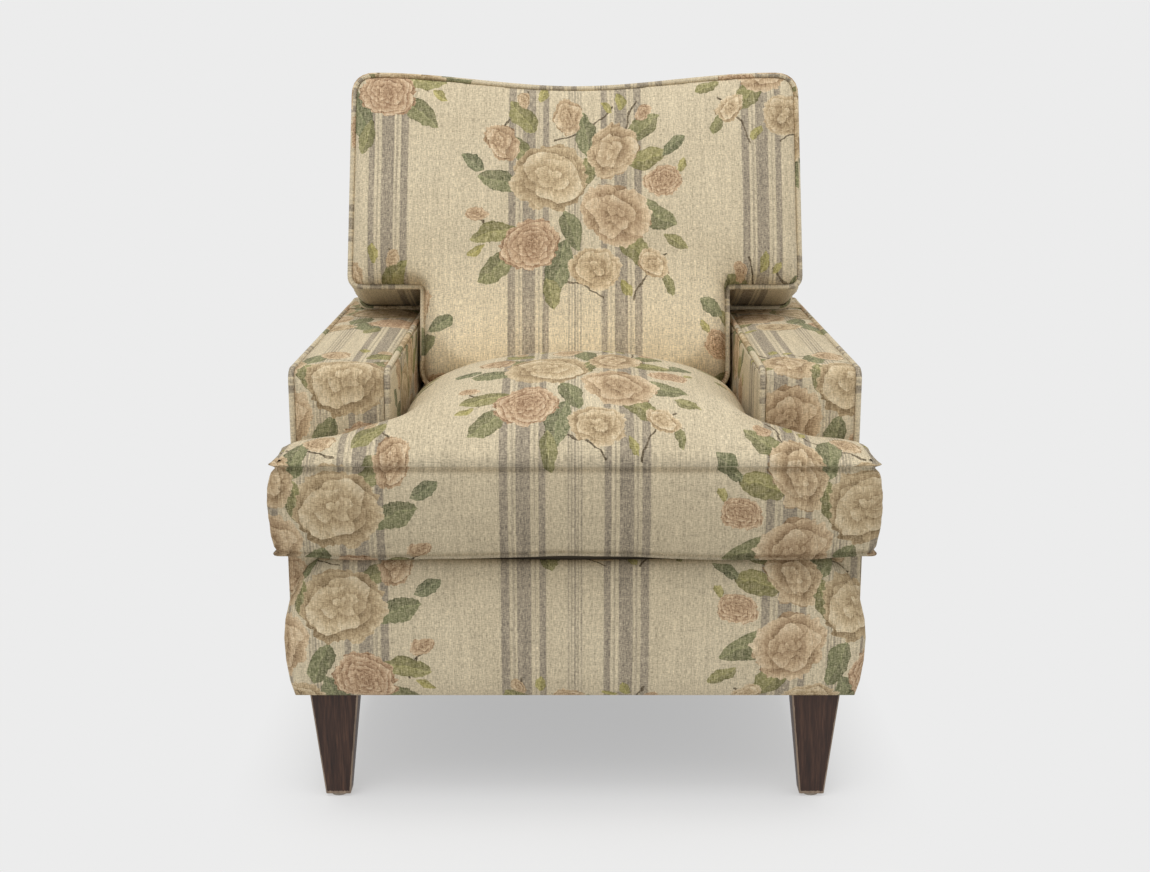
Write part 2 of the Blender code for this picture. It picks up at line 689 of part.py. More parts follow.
def make_outside_back():
    """Outside back: as wide as the arms below, as the back frame above."""
    right = [(ARM_OUTER_X, BORDER_BOTTOM_Z), (ARM_OUTER_X, ARM_TOP_Z),
             (BACK_HALF_WIDTH, ARM_TOP_Z), (BACK_HALF_WIDTH, BACK_TOP_Z)]
    right = rounded([(0.0, BORDER_BOTTOM_Z)] + right + [(0.0, BACK_TOP_Z)],
                    [0, 0, WELT_RADIUS * 2, 0, BACK_CORNER, 0], 4)[1:-1]

    def place(x, z, depth):
        return Vector((x, outside_back_y(z, depth), z))

    return prism("outside_back", both_sides(right), place, 0.0, BACK_SKIN, "linen")


def make_back_sides():
    """Facings of the back frame's two sides above the arms."""
    low = ARM_TOP_Z + 2 * GAP
    high = BACK_TOP_Z - BACK_CORNER
    section = layer(low, high, BACK_PAD + GAP, SKIN_DEPTH)
    for name, sign in (("left", -1), ("right", 1)):
        prism(name + "_back_side", section, along_x, sign * (BACK_HALF_WIDTH - BACK_SKIN),
              sign * BACK_HALF_WIDTH, "linen")


def make_seat_springs():
    """Sinuous springs from the front rail's top to the back rail's top."""
    start = FRONT + FRONT_RAIL_THICKNESS / 2
    rest_z = RAIL_TOP + GAP + SPRING_WIRE
    end = outside_back_y(RAIL_TOP, SKIN_DEPTH) - BACK_RAIL_THICKNESS / 2
    crossings = int((end - start) / SPRING_LOOP)
    loop = (end - start) / crossings
    half = (SPRING_WIDTH - loop) / 2
    for i in range(SPRING_COUNT):
        centre = (i - (SPRING_COUNT - 1) / 2) * SPRING_PITCH
        path = []
        for k in range(crossings):
            side = 1 if k % 2 else -1
            turn = [(half + loop / 2 * math.sin(a), -loop / 2 * math.cos(a))
                    for a in (0, math.pi / 4, math.pi / 2, 3 * math.pi / 4, math.pi)]
            for u, v in turn:
                y = start + loop * (k + 0.5) + v
                t = (y - start) / (end - start)
                sag = SPRING_SAG * math.sin(math.pi * min(max(t, 0.0), 1.0)) ** 2
                path.append((centre + side * u, y, rest_z - sag))
        tube(f"seat_spring_{i + 1}", path, SPRING_WIRE, "steel", resolution=0)


def make_seat_deck():
    """Padded deck over the springs, with ears in front of the arms."""
    ear_x = PANEL_INNER_X - GAP
    ear_rear = FRONT + ARM_FRONT + BAND_PAD
    stem_x = ARM_INNER_X + ARM_PAD
    rear = inside_back_y(DECK_BOTTOM) - 2 * GAP
    front = FRONT + GAP
    right = [(ear_x, front), (ear_x, ear_rear), (stem_x, ear_rear), (stem_x, rear)]
    return prism("seat_deck", both_sides(right), along_z, DECK_BOTTOM, DECK_TOP_Z, "linen")


def make_front_border():
    """Padded border across the front rail, puffed, with a soft upper edge."""
    bulge_z = (BORDER_BOTTOM_Z + DECK_TOP_Z) / 2
    wide = BORDER_FOOT_HALF_WIDTH + BORDER_BULGE
    right = [(BORDER_FOOT_HALF_WIDTH, BORDER_BOTTOM_Z), (wide, bulge_z),
             (wide - BORDER_DRAW, DECK_TOP_Z)]
    right = rounded([(0.0, BORDER_BOTTOM_Z)] + right + [(0.0, DECK_TOP_Z)],
                    [0, 0.003, BORDER_SHOULDER / 2, BORDER_SHOULDER, 0], 4)[1:-1]
    outline = subdivided(both_sides(right), FACET * 1.5)
    crown = crown_over(outline)

    def place(x, z, w):
        return Vector((x, FRONT - w, z))

    def upper(x, z):
        return BORDER_CORE + BORDER_CROWN * crown(x, z)

    def side(point, normal, t):
        return (*(Vector(point) - normal * 0.002 * t), BORDER_CORE * (1 - t))

    return cushion("front_border", outline, FACET, upper, lambda x, z: 0.0, side, 2,
                   place, "linen")


def make_dust_cover():
    """Thin cloth under the base, cut away round the legs."""
    x_out = FRAME_HALF_WIDTH - DUST_INSET
    x_in = x_out - DUST_NOTCH_X
    front = FRONT + DUST_INSET
    rear = BACK_RAIL_REAR - DUST_INSET
    right = [(x_in, front), (x_in, front + DUST_NOTCH_Y), (x_out, front + DUST_NOTCH_Y),
             (x_out, rear - DUST_NOTCH_Y), (x_in, rear - DUST_NOTCH_Y), (x_in, rear)]
    return prism("dust_cover", both_sides(right), along_z, RAIL_BOTTOM - GAP - DUST_THICKNESS,
                 RAIL_BOTTOM - GAP, "cambric")


def seat_outline(rear):
    """T outline of the seat cushion's seam, ears in front of the arms."""
    stem = ARM_INNER_X - SEAT_CLEARANCE
    ear_rear = ARM_FRONT - SEAT_CLEARANCE
    point_x = SEAT_EAR_X + SEAT_DOG_EAR
    middle = (SEAT_NOSE + ear_rear) / 2
    right = [(point_x, SEAT_NOSE), (SEAT_EAR_X, middle), (point_x, ear_rear),
             (stem, ear_rear), (stem, rear)]
    right = rounded([(0.0, SEAT_NOSE)] + right + [(0.0, rear)],
                    [0, 0.008, 0, 0.010, 0.010, 0.014, 0], 3)[1:-1]
    return [(u, FRONT + v) for u, v in subdivided(both_sides(right), FACET)]


def ear_slack(x):
    """Share of the crown left over the ears of the seat cushion."""
    t = (abs(x) - SEAT_EAR_X + SEAT_SLACK_REACH) / (SEAT_SLACK_REACH / 2)
    t = min(1.0, max(0.0, t))
    return 1 - SEAT_EAR_SLACK * t * t * (3 - 2 * t)


def make_seat_cushion():
    """Loose T cushion with a high crown and soft boxing."""
    outline = seat_outline(SEAT_REAR)
    crown = crown_over(seat_outline(SEAT_DOME_REAR))
    drop = SEAT_SEAM_BOTTOM_Z - DECK_TOP_Z - GAP
    boxing = SEAT_SEAM_TOP_Z - SEAT_SEAM_BOTTOM_Z
    ear_rear = FRONT + ARM_FRONT - 2 * SEAT_CLEARANCE
    base = crown_over(outline)

    def upper(x, y):
        return SEAT_SEAM_TOP_Z + SEAT_CROWN * crown(x, y) * ear_slack(x)

    def lower(x, y):
        return SEAT_SEAM_BOTTOM_Z - drop * min(1.0, 6.0 * base(x, y))

    def side(point, normal, t):
        free = point[1] < ear_rear
        swell = (SEAT_BULGE if free else SEAT_SIDE_BULGE) * math.sin(math.pi * t)
        u, v = Vector(point) + normal * swell
        return u, v, SEAT_SEAM_TOP_Z - boxing * t

    return cushion("seat_cushion", outline, FACET, upper, lower, side, 4, along_z, "linen")


def make_seat_zip():
    """Zip in the boxing at the rear of the seat cushion."""
    y = FRONT + SEAT_REAR + SEAT_SIDE_BULGE + GAP
    z = (SEAT_SEAM_TOP_Z + SEAT_SEAM_BOTTOM_Z) / 2
    half, ridge = ZIP_WIDTH / 2, ZIP_WIDTH / 8
    deep = y + ZIP_THICKNESS
    section = [(y, z - half), (deep, z - half), (deep, z - ridge), (deep + ZIP_THICKNESS, z - ridge),
               (deep + ZIP_THICKNESS, z + ridge), (deep, z + ridge), (deep, z + half), (y, z + half)]
    return prism("seat_cushion_zip", section, along_x, -ZIP_LENGTH / 2, ZIP_LENGTH / 2, "steel")


def back_place(x, v, w):
    """Point of the back cushion: v up its plane, w out of its front."""
    s, c = math.sin(BACK_LEAN), math.cos(BACK_LEAN)
    return Vector((x, FRONT + BACK_SEAM_FOOT + v * s - w * c, BACK_SEAM_FOOT_Z + v * c + w * s))


def back_outline(spacing):
    """T outline of the back cushion's seam, its ears over the arms."""
    top = CUSHION_CORNER_V
    right = [(CUSHION_STEM_X, 0.0), (CUSHION_STEM_X, CUSHION_NOTCH_V),
             (CUSHION_EAR_X, CUSHION_NOTCH_V), (CUSHION_EAR_X - CUSHION_EAR_TAPER, top)]
    right = rounded([(0.0, 0.0)] + right + [(0.0, top)],
                    [0, CUSHION_LOW_CORNER, 0.010, CUSHION_EAR_CORNER, CUSHION_TOP_CORNER, 0],
                    4)[1:-1]
    outline = subdivided(both_sides(right), spacing)
    return [(u, v - top_dip(u) * max(0.0, (v - CUSHION_NOTCH_V) / (top - CUSHION_NOTCH_V)))
            for u, v in outline]


def top_dip(x):
    """How far the slack top edge hangs below its corners."""
    t = min(1.0, abs(x) / (CUSHION_EAR_X * 0.9))
    return CUSHION_TOP_DIP * (1 - t * t * (3 - 2 * t))


def foot_rise(v):
    """How far the rear seam is lifted so that the foot rests level."""
    return CUSHION_FOOT_RISE * max(0.0, 1 - v / CUSHION_NOTCH_V)


def make_back_cushion():
    """Loose T cushion that leans on the inside back and stands on the seat."""
    outline = back_outline(FACET)
    crown = crown_over(outline)

    def upper(x, v):
        return CUSHION_CROWN * crown(x, v)

    def lower(x, v):
        return -CUSHION_THICKNESS - CUSHION_REAR_CROWN * min(1.0, 2.0 * crown(x, v))

    def side(point, normal, t):
        free = point[1] > CUSHION_NOTCH_V - 0.004 and abs(point[0]) > CUSHION_STEM_X + 0.02
        free = free or point[1] > CUSHION_NOTCH_V + CUSHION_EAR_CORNER
        swell = (CUSHION_BULGE if free else CUSHION_SIDE_BULGE) * math.sin(math.pi * t)
        swell *= 0.0 if point[1] < CUSHION_LOW_CORNER else 1.0
        u, v = Vector(point) + normal * swell
        return u, v + t * foot_rise(point[1]), -CUSHION_THICKNESS * t

    return cushion("back_cushion", outline, FACET, upper, lower, side, 4, back_place, "linen")


def make_back_welts():
    """Covered cords round the front and the rear seam of the back cushion."""
    outline = back_outline(FACET)
    normals = outward(outline)
    for name, w, reach in (("back_cushion_front_welt", WELT_RADIUS * 0.5, WELT_RADIUS),
                           ("back_cushion_rear_welt", WELT_CLEAR - CUSHION_THICKNESS,
                            WELT_RADIUS + WELT_CLEAR / 2)):
        path = []
        for (u, v), normal in zip(outline, normals):
            out = Vector((u, v)) + normal * reach
            if w < 0:
                out.y += foot_rise(v)
            path.append(back_place(out.x, out.y, w))
        tube(name, path, WELT_RADIUS, "linen", closed=True)


def main():
    clear_scene()
    make_legs()
    make_base_rails()
    make_corner_blocks()
    make_arms()
    make_back_frame()
    make_back_straps()
    make_inside_back()
    make_back_top_facing()
    make_back_sides()
    make_outside_back()
    make_seat_springs()
    make_seat_deck()
    make_front_border()
    make_dust_cover()
    make_seat_cushion()
    make_seat_zip()
    make_back_cushion()
    make_back_welts()


main()
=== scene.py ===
"""Looks of the armchair: stuffed T cushions, welted arms and border in one printed linen.

Metres, +Z up, the chair faces -Y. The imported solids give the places. Every
upholstered piece is remade here as a fine mesh with its own cloth map: U runs
across the stripes and V along them, both in metres.
"""
import math

import bmesh
import bpy
import numpy as np
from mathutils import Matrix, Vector, geometry, noise


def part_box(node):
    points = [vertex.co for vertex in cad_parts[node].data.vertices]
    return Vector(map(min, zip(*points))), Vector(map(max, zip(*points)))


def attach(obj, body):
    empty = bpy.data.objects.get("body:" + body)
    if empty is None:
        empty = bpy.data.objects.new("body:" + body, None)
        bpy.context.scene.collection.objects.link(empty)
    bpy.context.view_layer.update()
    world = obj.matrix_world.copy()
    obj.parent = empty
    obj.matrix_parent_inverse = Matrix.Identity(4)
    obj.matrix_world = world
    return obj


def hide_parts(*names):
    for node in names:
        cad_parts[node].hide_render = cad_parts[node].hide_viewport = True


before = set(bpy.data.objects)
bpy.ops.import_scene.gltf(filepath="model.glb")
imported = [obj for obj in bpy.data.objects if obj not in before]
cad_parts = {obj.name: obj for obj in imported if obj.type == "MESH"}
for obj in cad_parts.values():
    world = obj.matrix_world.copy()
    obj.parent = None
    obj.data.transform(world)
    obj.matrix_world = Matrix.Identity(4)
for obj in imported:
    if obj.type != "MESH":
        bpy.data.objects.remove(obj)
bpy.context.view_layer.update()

GAP = 0.0003               # left between a cover and what it rests on

# Back frame: lean of the inside back, rake of the outside back, the depth of
# each and the round of their upper corners
BACK_LEAN = math.radians(17.5)
BACK_RAKE = math.radians(6.0)
INSIDE_BACK_DEPTH = 0.015
OUTSIDE_BACK_DEPTH = 0.010
BACK_CORNER = 0.026

# Covered cords
WELT_RADIUS = 0.0042
WELT_CLEAR = 0.0018        # the back cushion's rear cord stands off its seam
ARM_WELT_BEND = 0.0158
ARM_WELT_STEP = 0.008

# Seat cushion
SEAT_SEAM_TOP_Z = 0.477
SEAT_SEAM_BOTTOM_Z = 0.359
SEAT_DOG_EAR = 0.003
SEAT_CLEARANCE = 0.003
SEAT_CORNERS = (0.007, 0, 0.008, 0.008, 0.014)
SEAT_CROWN = 0.104
SEAT_EAR_SLACK = 0.22
SEAT_SLACK_REACH = 0.120
SEAT_DOME_DEPTH = 0.441
SEAT_BULGE = 0.009
SEAT_SIDE_BULGE = 0.0020
SEAT_LEAN = 0.007          # how far the front draws back towards its lower seam
SEAT_RINGS = 30
# The front's lower edge hangs a little all along, and more between the middle,
# over the first distance, and the ears, over the second
SEAT_HANG = 0.0015
SEAT_SAG = 0.0054
SEAT_SAG_FADE = (0.22, 0.10)
NOSE_ROUND = 0.006
EAR_FREE = 0.02            # the boxing comes free of the arms over this distance
COVERED_Y = 0.02           # behind this the back cushion hides and presses the crown
CROWN_POWER = 0.57

# Its rolled upper seam, ring by ring from the crown down: how far in the ring
# lies, how deep it dips and how much of the puckers it shows
ROLL_INSET = (0.012, 0.0065, 0.0036, 0.0012)
ROLL_DIP = (0.0, 0.0010, 0.0026, 0.0002)
ROLL_PUCKER = (0.0009, 0.0007, 0.0003, 0.0)

# Both of its seams stand out as ridges with the boxing tucked in beside them:
# depth of a tuck, its place from the seam, its width
SEAM_RIDGE = 0.0036
SEAM_LIFT = 0.0014
EAR_TIP = 0.0010
EAR_TIP_REACH = 0.016
PUCKER = 0.0011
PUCKER_REACH = 0.016
UPPER_TUCK = (0.0052, 0.0035, 0.0042)
LOWER_TUCK = (0.0034, 0.002, 0.0040)
LOWER_LIFT = 0.4           # share of the upper ridge's lift that the lower one has
BOXING_ROUND = 0.75        # how full the boxing swells between them

# Back cushion, in its own leaning plane
CUSHION_THICKNESS = 0.135
CUSHION_STEM_X = 0.2365
CUSHION_EAR_X = 0.3515
CUSHION_EAR_TAPER = 0.004
CUSHION_NOTCH_V = 0.1665
CUSHION_CORNER_V = 0.4935
CUSHION_TOP_DIP = 0.022
CUSHION_TOP_CORNER = 0.030
CUSHION_LOW_CORNER = 0.026
CUSHION_EAR_CORNER = 0.016
CUSHION_NOTCH_CORNER = 0.010
CUSHION_CROWN = 0.052
CUSHION_REAR_CROWN = 0.003
CUSHION_BULGE = 0.009
CUSHION_SIDE_BULGE = 0.0020
CUSHION_FOOT_RISE = 0.0424
CUSHION_EAR_HANG = 0.012
CUSHION_EAR_DROP = 0.0075  # how far the ears sit below the solid's notch
CUSHION_SLUMP = 0.034      # filling that has sunk into the lower half
CUSHION_SLUMP_TOP = 0.40
CUSHION_RINGS = 19
CUSHION_BOXING_ROUND = 0.9
STEM_CLEAR = 0.004         # an ear comes free of the stem from here on
EAR_HANG_REACH = 0.030
SEAM_FOOT_Z = 0.4875
SEAM_FOOT_BEHIND = 0.4747  # its foot's seam lies this far behind the seat's nose

# Rumples of the covers: height, size, level and seed of each wave
SEAT_WAVES = ((0.0030, 0.11, 0.0, 1.7), (0.0009, 0.045, 0.4, 5.2))
CUSHION_WAVES = ((0.0034, 0.12, 0.0, 4.4), (0.0010, 0.05, 0.9, 9.3))
PANEL_WAVES = ((1.0, 0.10, 0.0, 3.3),)
PUCKER_WAVES = ((1.0, 0.011, 0.0, 3.7), (0.7, 0.028, 0.0, 6.1))
HANG_WAVES = ((0.0012, 0.07, 0.0, 8.1),)
BAND_WAVES = ((0.0008, 0.06, 0.0, 2.9),)

# Spacing of the points, and the nets on which crowns are solved: mesh, rounds
CUSHION_STEP = 0.0065
PANEL_STEP = 0.011
BAND_STEP = 0.009
CUSHION_NET = (0.006, 5200)
SEAT_BASE_NET = (0.010, 1200)
PANEL_NET = (0.008, 900)

# Tacked panels: flat thickness, crown over it, round of the edge, rumples. The
# border's crown fills its depth, so it isn't given here.
BORDER_PAD = (0.0115, 0.0110, 0.0012)
OUTSIDE_ARM_PAD = (0.0085, 0.0022, 0.0040, 0.0006)
INSIDE_ARM_PAD = (0.0092, 0.0006, 0.0025, 0.0003)
INSIDE_BACK_PAD = (0.0146, 0.0, 0.004, 0.0)
OUTSIDE_BACK_PAD = (0.0092, 0.0022, 0.003, 0.0008)
FRONT_ROUND = 0.0116       # upper front corner of the arm panels
ARM_TAPER = 0.80           # share of the outside arm's padding lost at its front

# Front border
BORDER_FLAT = 0.0120       # what its crown leaves of its depth
BORDER_DROP = 0.0045       # how far its worn upper edge has sunk
BORDER_SAG = 0.0050        # and how much further at its middle
BORDER_HANG = 0.0040       # cloth turned under the front rail
BORDER_LIFT = 0.0018       # the outside arm's turned edge lies behind it
# Its side from the foot up: share of its height, and how far it stands out
# beyond the outside arm's face
BORDER_SIDE = [(0.0, -0.0115), (0.11, -0.0050), (0.26, -0.0008), (0.42, 0.0005),
               (0.55, -0.0020), (0.72, -0.0105), (0.86, -0.0240), (0.94, -0.0360), (1.0, -0.0520)]
BORDER_CORNER = 0.002
BORDER_SAG_HALF = 0.31     # its upper edge sags between here and the same at the left
BORDER_SAG_DEPTH = 0.04    # and the cloth follows down to here
BORDER_CALM = 0.008        # its crown ends this far below its upper edge
BORDER_STEP = 0.009
PUFF_REACH = 0.11          # and comes up over this distance
TURNED_EDGE = 0.048        # width of the cloth turned in behind it

# Arm bands: padding at the front and on top, round between them, swell
BAND_PAD_FRONT = 0.0134
BAND_PAD_TOP = 0.0197
BAND_ROUND = 0.020
BAND_SWELL = 0.0036
BAND_EDGE_DROP = 0.0030

# Legs: the foot's share of the head's size, across and along the chair
LEG_FOOT = (0.51, 0.67)
LEG_ARRIS = 0.0022

# Repeat of the print: thin stripes at its middle, broad ones between. How far a
# stripe wanders, and how soft its edges are in mm
REPEAT_U = 0.343
REPEAT_V = 0.480
STRIPE_WANDER = 0.0016
STRIPE_SOFT = 0.5

# The printed spray, in cm: half width of a stem, how far a leaf's two arcs are
# set apart and how far they reach, how far the print has bled: scale, distance
STEM_HALF = 0.15
LEAF_BOW = 0.80
LEAF_REACH = 1.28
BLEED = ((34.0, 1.5), (150.0, 0.42))

# Where each piece starts on the cloth, and how far the back is pulled tight
SEAT_V = -0.150
BACK_V = 0.205
BACK_SIDE_V = 0.065
BACK_STRETCH = 0.942
BORDER_V = -0.150
ARM_V = 0.050
ARM_SIDE_U = 0.08
OUTSIDE_BACK_V = 0.11

# Painted shade on the front, darkest just under the seat cushion's overhang,
# from the border's foot to the seat cushion's nose: height, share of the light lost
PAINTED_SHADE_LOW, PAINTED_SHADE_HIGH = 0.150, 0.490
PAINTED_SHADE_STEPS = [(0.157, 0.06), (0.19, 0.03), (0.25, 0.02), (0.30, 0.09), (0.335, 0.17),
              (0.358, 0.19), (0.39, 0.16), (0.44, 0.14), (0.470, 0.12), (0.478, 0.0)]
PAINTED_SHADE_TINT = (0.95, 1.0, 1.1)
PAINTED_SHADE_FRONT = (-0.355, -0.015)
# Painted light on the lower back, where the seat and arms shade it: how much
# paler it is painted, and the bounds of that place: where it starts along an
# axis, and the distance over which it comes in
PAINTED_LIGHT_SHARE = 0.32
PAINTED_LIGHT_BOUNDS = (("z", 0.705, -0.125), ("x", 0.252, -0.035), ("y", -0.10, 0.05), ("z", 0.50, 0.03),
          ("y", 0.22, -0.05))

# Camera of the photograph
CAMERA_BEFORE_LEGS = 2.015
CAMERA_Z = 0.979
CAMERA_TILT = math.radians(13.12)
CAMERA_LENS = 50.0
SENSOR = 36.0

# Studio: floor, its shadow's half size and fade round the chair, light all round
FLOOR_TONE = 0.80
FLOOR_REACH = 40.0
SHADOW_HALF = (0.32, 0.40, 0.0)
SHADOW_FADE = (1 / 0.16, 1 / 0.26, 0.0)
WORLD_LIGHT = 0.74
# Soft boxes: name, place, aim, size, watts
LIGHTS = (("key_light", (-1.4, -3.1, 4.9), (0, 0, 0.45), (3.0, 2.4), 50),
          ("top_light", (0, -1.0, 5.4), (0, 0, 0.4), (5.5, 2.8), 100))

SIDES = (("left", -1), ("right", 1))


def clamp01(t):
    return min(1.0, max(0.0, t))


def smooth(t):
    t = clamp01(t)
    return t * t * (3 - 2 * t)


def hump(along, height, at, width):
    """Rounded bump of the given height round a place."""
    return height * math.exp(-((along - at) / width) ** 2)


def ripple(x, y, z, scale, seed):
    return noise.noise(Vector((x / scale + seed, y / scale - seed * 0.7, z / scale + 3.1)))


def rumple_at(x, y, waves):
    """Sum of soft waves at a point."""
    return sum(height * ripple(x, y, level, size, seed) for height, size, level, seed in waves)


def rumples(x, y, waves):
    return np.array([rumple_at(a, c, waves) for a, c in zip(x, y)])


# Outlines

def rounded(points, radii, steps):
    """Outline with the corner of each given radius turned into a curve."""
    result = []
    for i, (corner, radius) in enumerate(zip(points, radii)):
        here = Vector(corner)
        if radius == 0:
            result.append(tuple(here))
            continue
        before = (Vector(points[i - 1]) - here).normalized()
        after = (Vector(points[(i + 1) % len(points)]) - here).normalized()
        reach = radius / math.tan(before.angle(after) / 2)
        start, end = here + before * reach, here + after * reach
        for k in range(steps + 1):
            t = k / steps
            result.append(tuple(start.lerp(here, t).lerp(here.lerp(end, t), t)))
    return result


def subdivided(points, spacing, closed=True):
    """The path with further points between its own, about evenly spaced."""
    result = []
    for a, b in zip(points, points[1:] + (points[:1] if closed else [])):
        a, b = Vector(a), Vector(b)
        parts = max(1, round((b - a).length / spacing))
        result += [tuple(a.lerp(b, k / parts)) for k in range(parts)]
    return result if closed else result + [points[-1]]


def symmetric(right, low, high, radii, steps, spacing):
    """Closed outline from the corners of its right half, bottom to top."""
    half = rounded([(0.0, low)] + right + [(0.0, high)], [0, *radii, 0], steps)[1:-1]
    return subdivided(half + [(-u, v) for u, v in reversed(half)], spacing)


def outward(outline):
    """Normals that point out of a closed anticlockwise outline."""
    normals = []
    for i, here in enumerate(outline):
        before = (Vector(here) - Vector(outline[i - 1])).normalized()
        after = (Vector(outline[(i + 1) % len(outline)]) - Vector(here)).normalized()
        along = before + after
        normals.append(Vector((along.y, -along.x)).normalized())
    return normals


def inside(outline, x, y):
    """Mask of the points that lie within an outline."""
    ring = np.array(outline)
    mask = np.zeros(x.shape, bool)
    for (ax, ay), (bx, by) in zip(ring, np.roll(ring, -1, axis=0)):
        if ay == by:
            continue
        crosses = ((ay > y) != (by > y)) & (x < (bx - ax) * (y - ay) / (by - ay) + ax)
        mask ^= crosses
    return mask


class Field:
    """Values on a grid over an outline, read between its points."""

    def __init__(self, outline, step):
        ring = np.array(outline)
        self.low = ring.min(axis=0) - 2 * step
        self.step = step
        self.size = np.ceil((ring.max(axis=0) + 2 * step - self.low) / step).astype(int) + 1
        self.x, self.y = np.meshgrid(self.low[0] + step * np.arange(self.size[0]),
                                     self.low[1] + step * np.arange(self.size[1]), indexing="ij")
        self.mask = inside(outline, self.x, self.y)
        self.values = np.zeros(self.x.shape)

    def read(self, px, py):
        gx = np.clip((np.asarray(px) - self.low[0]) / self.step, 0, self.size[0] - 1.001)
        gy = np.clip((np.asarray(py) - self.low[1]) / self.step, 0, self.size[1] - 1.001)
        i, j = gx.astype(int), gy.astype(int)
        fx, fy = gx - i, gy - j
        v = self.values
        near = v[i, j] * (1 - fx) + v[i + 1, j] * fx
        far = v[i, j + 1] * (1 - fx) + v[i + 1, j + 1] * fx
        return near * (1 - fy) + far * fy


def crown_over(outline, step, rounds):
    """Height from 0 to 1 of a stuffed cover sewn down along the outline."""
    field = Field(outline, step)
    lift = np.zeros(field.x.shape)
    for _ in range(rounds):
        mean = (np.roll(lift, 1, 0) + np.roll(lift, -1, 0)
                + np.roll(lift, 1, 1) + np.roll(lift, -1, 1)) / 4
        lift = np.where(field.mask, mean + 1.0, 0.0)
    field.values = lift / lift.max()
    return field


def filled(outline, spacing):
    """Points and triangles of an outline with a grid of points inside."""
    ring = np.array(outline)
    low, high = ring.min(axis=0), ring.max(axis=0)
    count = np.maximum(2, np.round((high - low) / spacing).astype(int))
    gx, gy = np.meshgrid(np.linspace(low[0], high[0], count[0] + 1)[1:-1],
                         np.linspace(low[1], high[1], count[1] + 1)[1:-1], indexing="ij")
    mask = inside(outline, gx, gy)
    spots = np.stack([gx[mask], gy[mask]], axis=1)
    near = np.array([np.min(np.hypot(*(ring - s).T)) for s in spots])
    spots = spots[near > spacing * 0.6]
    points = [Vector(p) for p in outline] + [Vector(s) for s in spots]
    found = geometry.delaunay_2d_cdt(points, [], [list(range(len(ring)))], 1, 1e-7)
    return np.array([tuple(p) for p in found[0]]), [tuple(f) for f in found[2]]


def linked(name, data):
    obj = bpy.data.objects.new(name, data)
    bpy.context.scene.collection.objects.link(obj)
    return obj


def build_mesh(name, verts, faces, face_uvs, material, soft=True):
    """Mesh with a cloth map; face_uvs holds one (u, v) a corner."""
    mesh = bpy.data.meshes.new(name)
    mesh.from_pydata([tuple(v) for v in verts], [], faces)
    layer = mesh.uv_layers.new(name="Cloth")
    layer.data.foreach_set("uv", np.array(face_uvs, np.float32).ravel())
    mesh.materials.append(material)
    if soft:
        mesh.shade_smooth()
    return linked(name, mesh)


def stuffed(name, outline, spacing, ring_count, ring, upper, lower, place, maps, material,
            seam=0):
    """Closed soft form: upper skin, lower skin and the boxing between them.

    ring(k, point, normal) gives (u, v, w) of level k, and the boxing starts at
    the level of the seam; upper and lower give w over arrays of (u, v). maps
    holds the cloth maps of both skins and where the boxing starts on the
    cloth, or None if the cloth of the upper skin simply turns down.
    """
    skin_map, under_map, side_map = maps
    normals = outward(outline)
    count = len(outline)
    levels = [[ring(k, Vector(p), n) for p, n in zip(outline, normals)]
              for k in range(ring_count)]
    rim_up = [(u, v) for u, v, w in levels[0]]
    rim_down = [(u, v) for u, v, w in levels[-1]]
    top_points, top_faces = filled(rim_up, spacing)
    base_points, base_faces = filled(rim_down, spacing * 2.5)
    starts = [k * count for k in range(ring_count)]
    flat = [point for level in levels for point in level]
    top_start = len(flat)
    heights = upper(top_points[count:, 0], top_points[count:, 1])
    flat += [(u, v, w) for (u, v), w in zip(top_points[count:], heights)]
    base_start = len(flat)
    heights = lower(base_points[count:, 0], base_points[count:, 1])
    flat += [(u, v, w) for (u, v), w in zip(base_points[count:], heights)]
    faces, uvs = [], []

    def top_index(i):
        return i if i < count else top_start + i - count

    def base_index(i):
        return starts[-1] + i if i < count else base_start + i - count

    top_uv = skin_map(top_points[:, 0], top_points[:, 1])
    base_uv = under_map(base_points[:, 0], base_points[:, 1])
    for face in top_faces:
        faces.append([top_index(i) for i in face])
        uvs += [top_uv[i] for i in face]
    for face in base_faces:
        faces.append([base_index(i) for i in reversed(face)])
        uvs += [base_uv[i] for i in reversed(face)]
    lengths = [(Vector(outline[(i + 1) % count]) - Vector(outline[i])).length
               for i in range(count)]
    girth = np.concatenate([[0], np.cumsum(lengths)])
    down = [0.0] * (seam + 1)
    for a, b in zip(levels[seam:], levels[seam + 1:]):
        down.append(down[-1] + (Vector(a[0]) - Vector(b[0])).length)
    for k in range(ring_count - 1):
        a, b = starts[k], starts[k + 1]
        turned = side_map is None or k < seam
        if turned:
            points = np.array([p[:2] for p in levels[k] + levels[k + 1]])
            drawn = skin_map(points[:, 0], points[:, 1])
            if side_map is None:
                fall = np.array([tuple(n) for n in normals])
                drawn += np.concatenate([fall * down[k], fall * down[k + 1]])
        for i in range(count):
            j = (i + 1) % count
            faces.append((a + i, b + i, b + j, a + j))
            if turned:
                uvs += [drawn[i], drawn[count + i], drawn[count + j], drawn[j]]
                continue
            u0 = side_map[0] + girth[i]
            if 2 * side_map[0] + 2 * girth[i] + lengths[i] > girth[-1]:
                u0 -= girth[-1]
            u1 = u0 + lengths[i]
            v0, v1 = side_map[1] - down[k], side_map[1] - down[k + 1]
            uvs += [(u0, v0), (u0, v1), (u1, v1), (u1, v0)]
    return build_mesh(name, [place(*p) for p in flat], faces, uvs, material)


def keep(obj, node):
    """The piece rides on the chair and stands for its CAD node."""
    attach(obj, "root")
    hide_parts(node)
    return obj


# Shader building

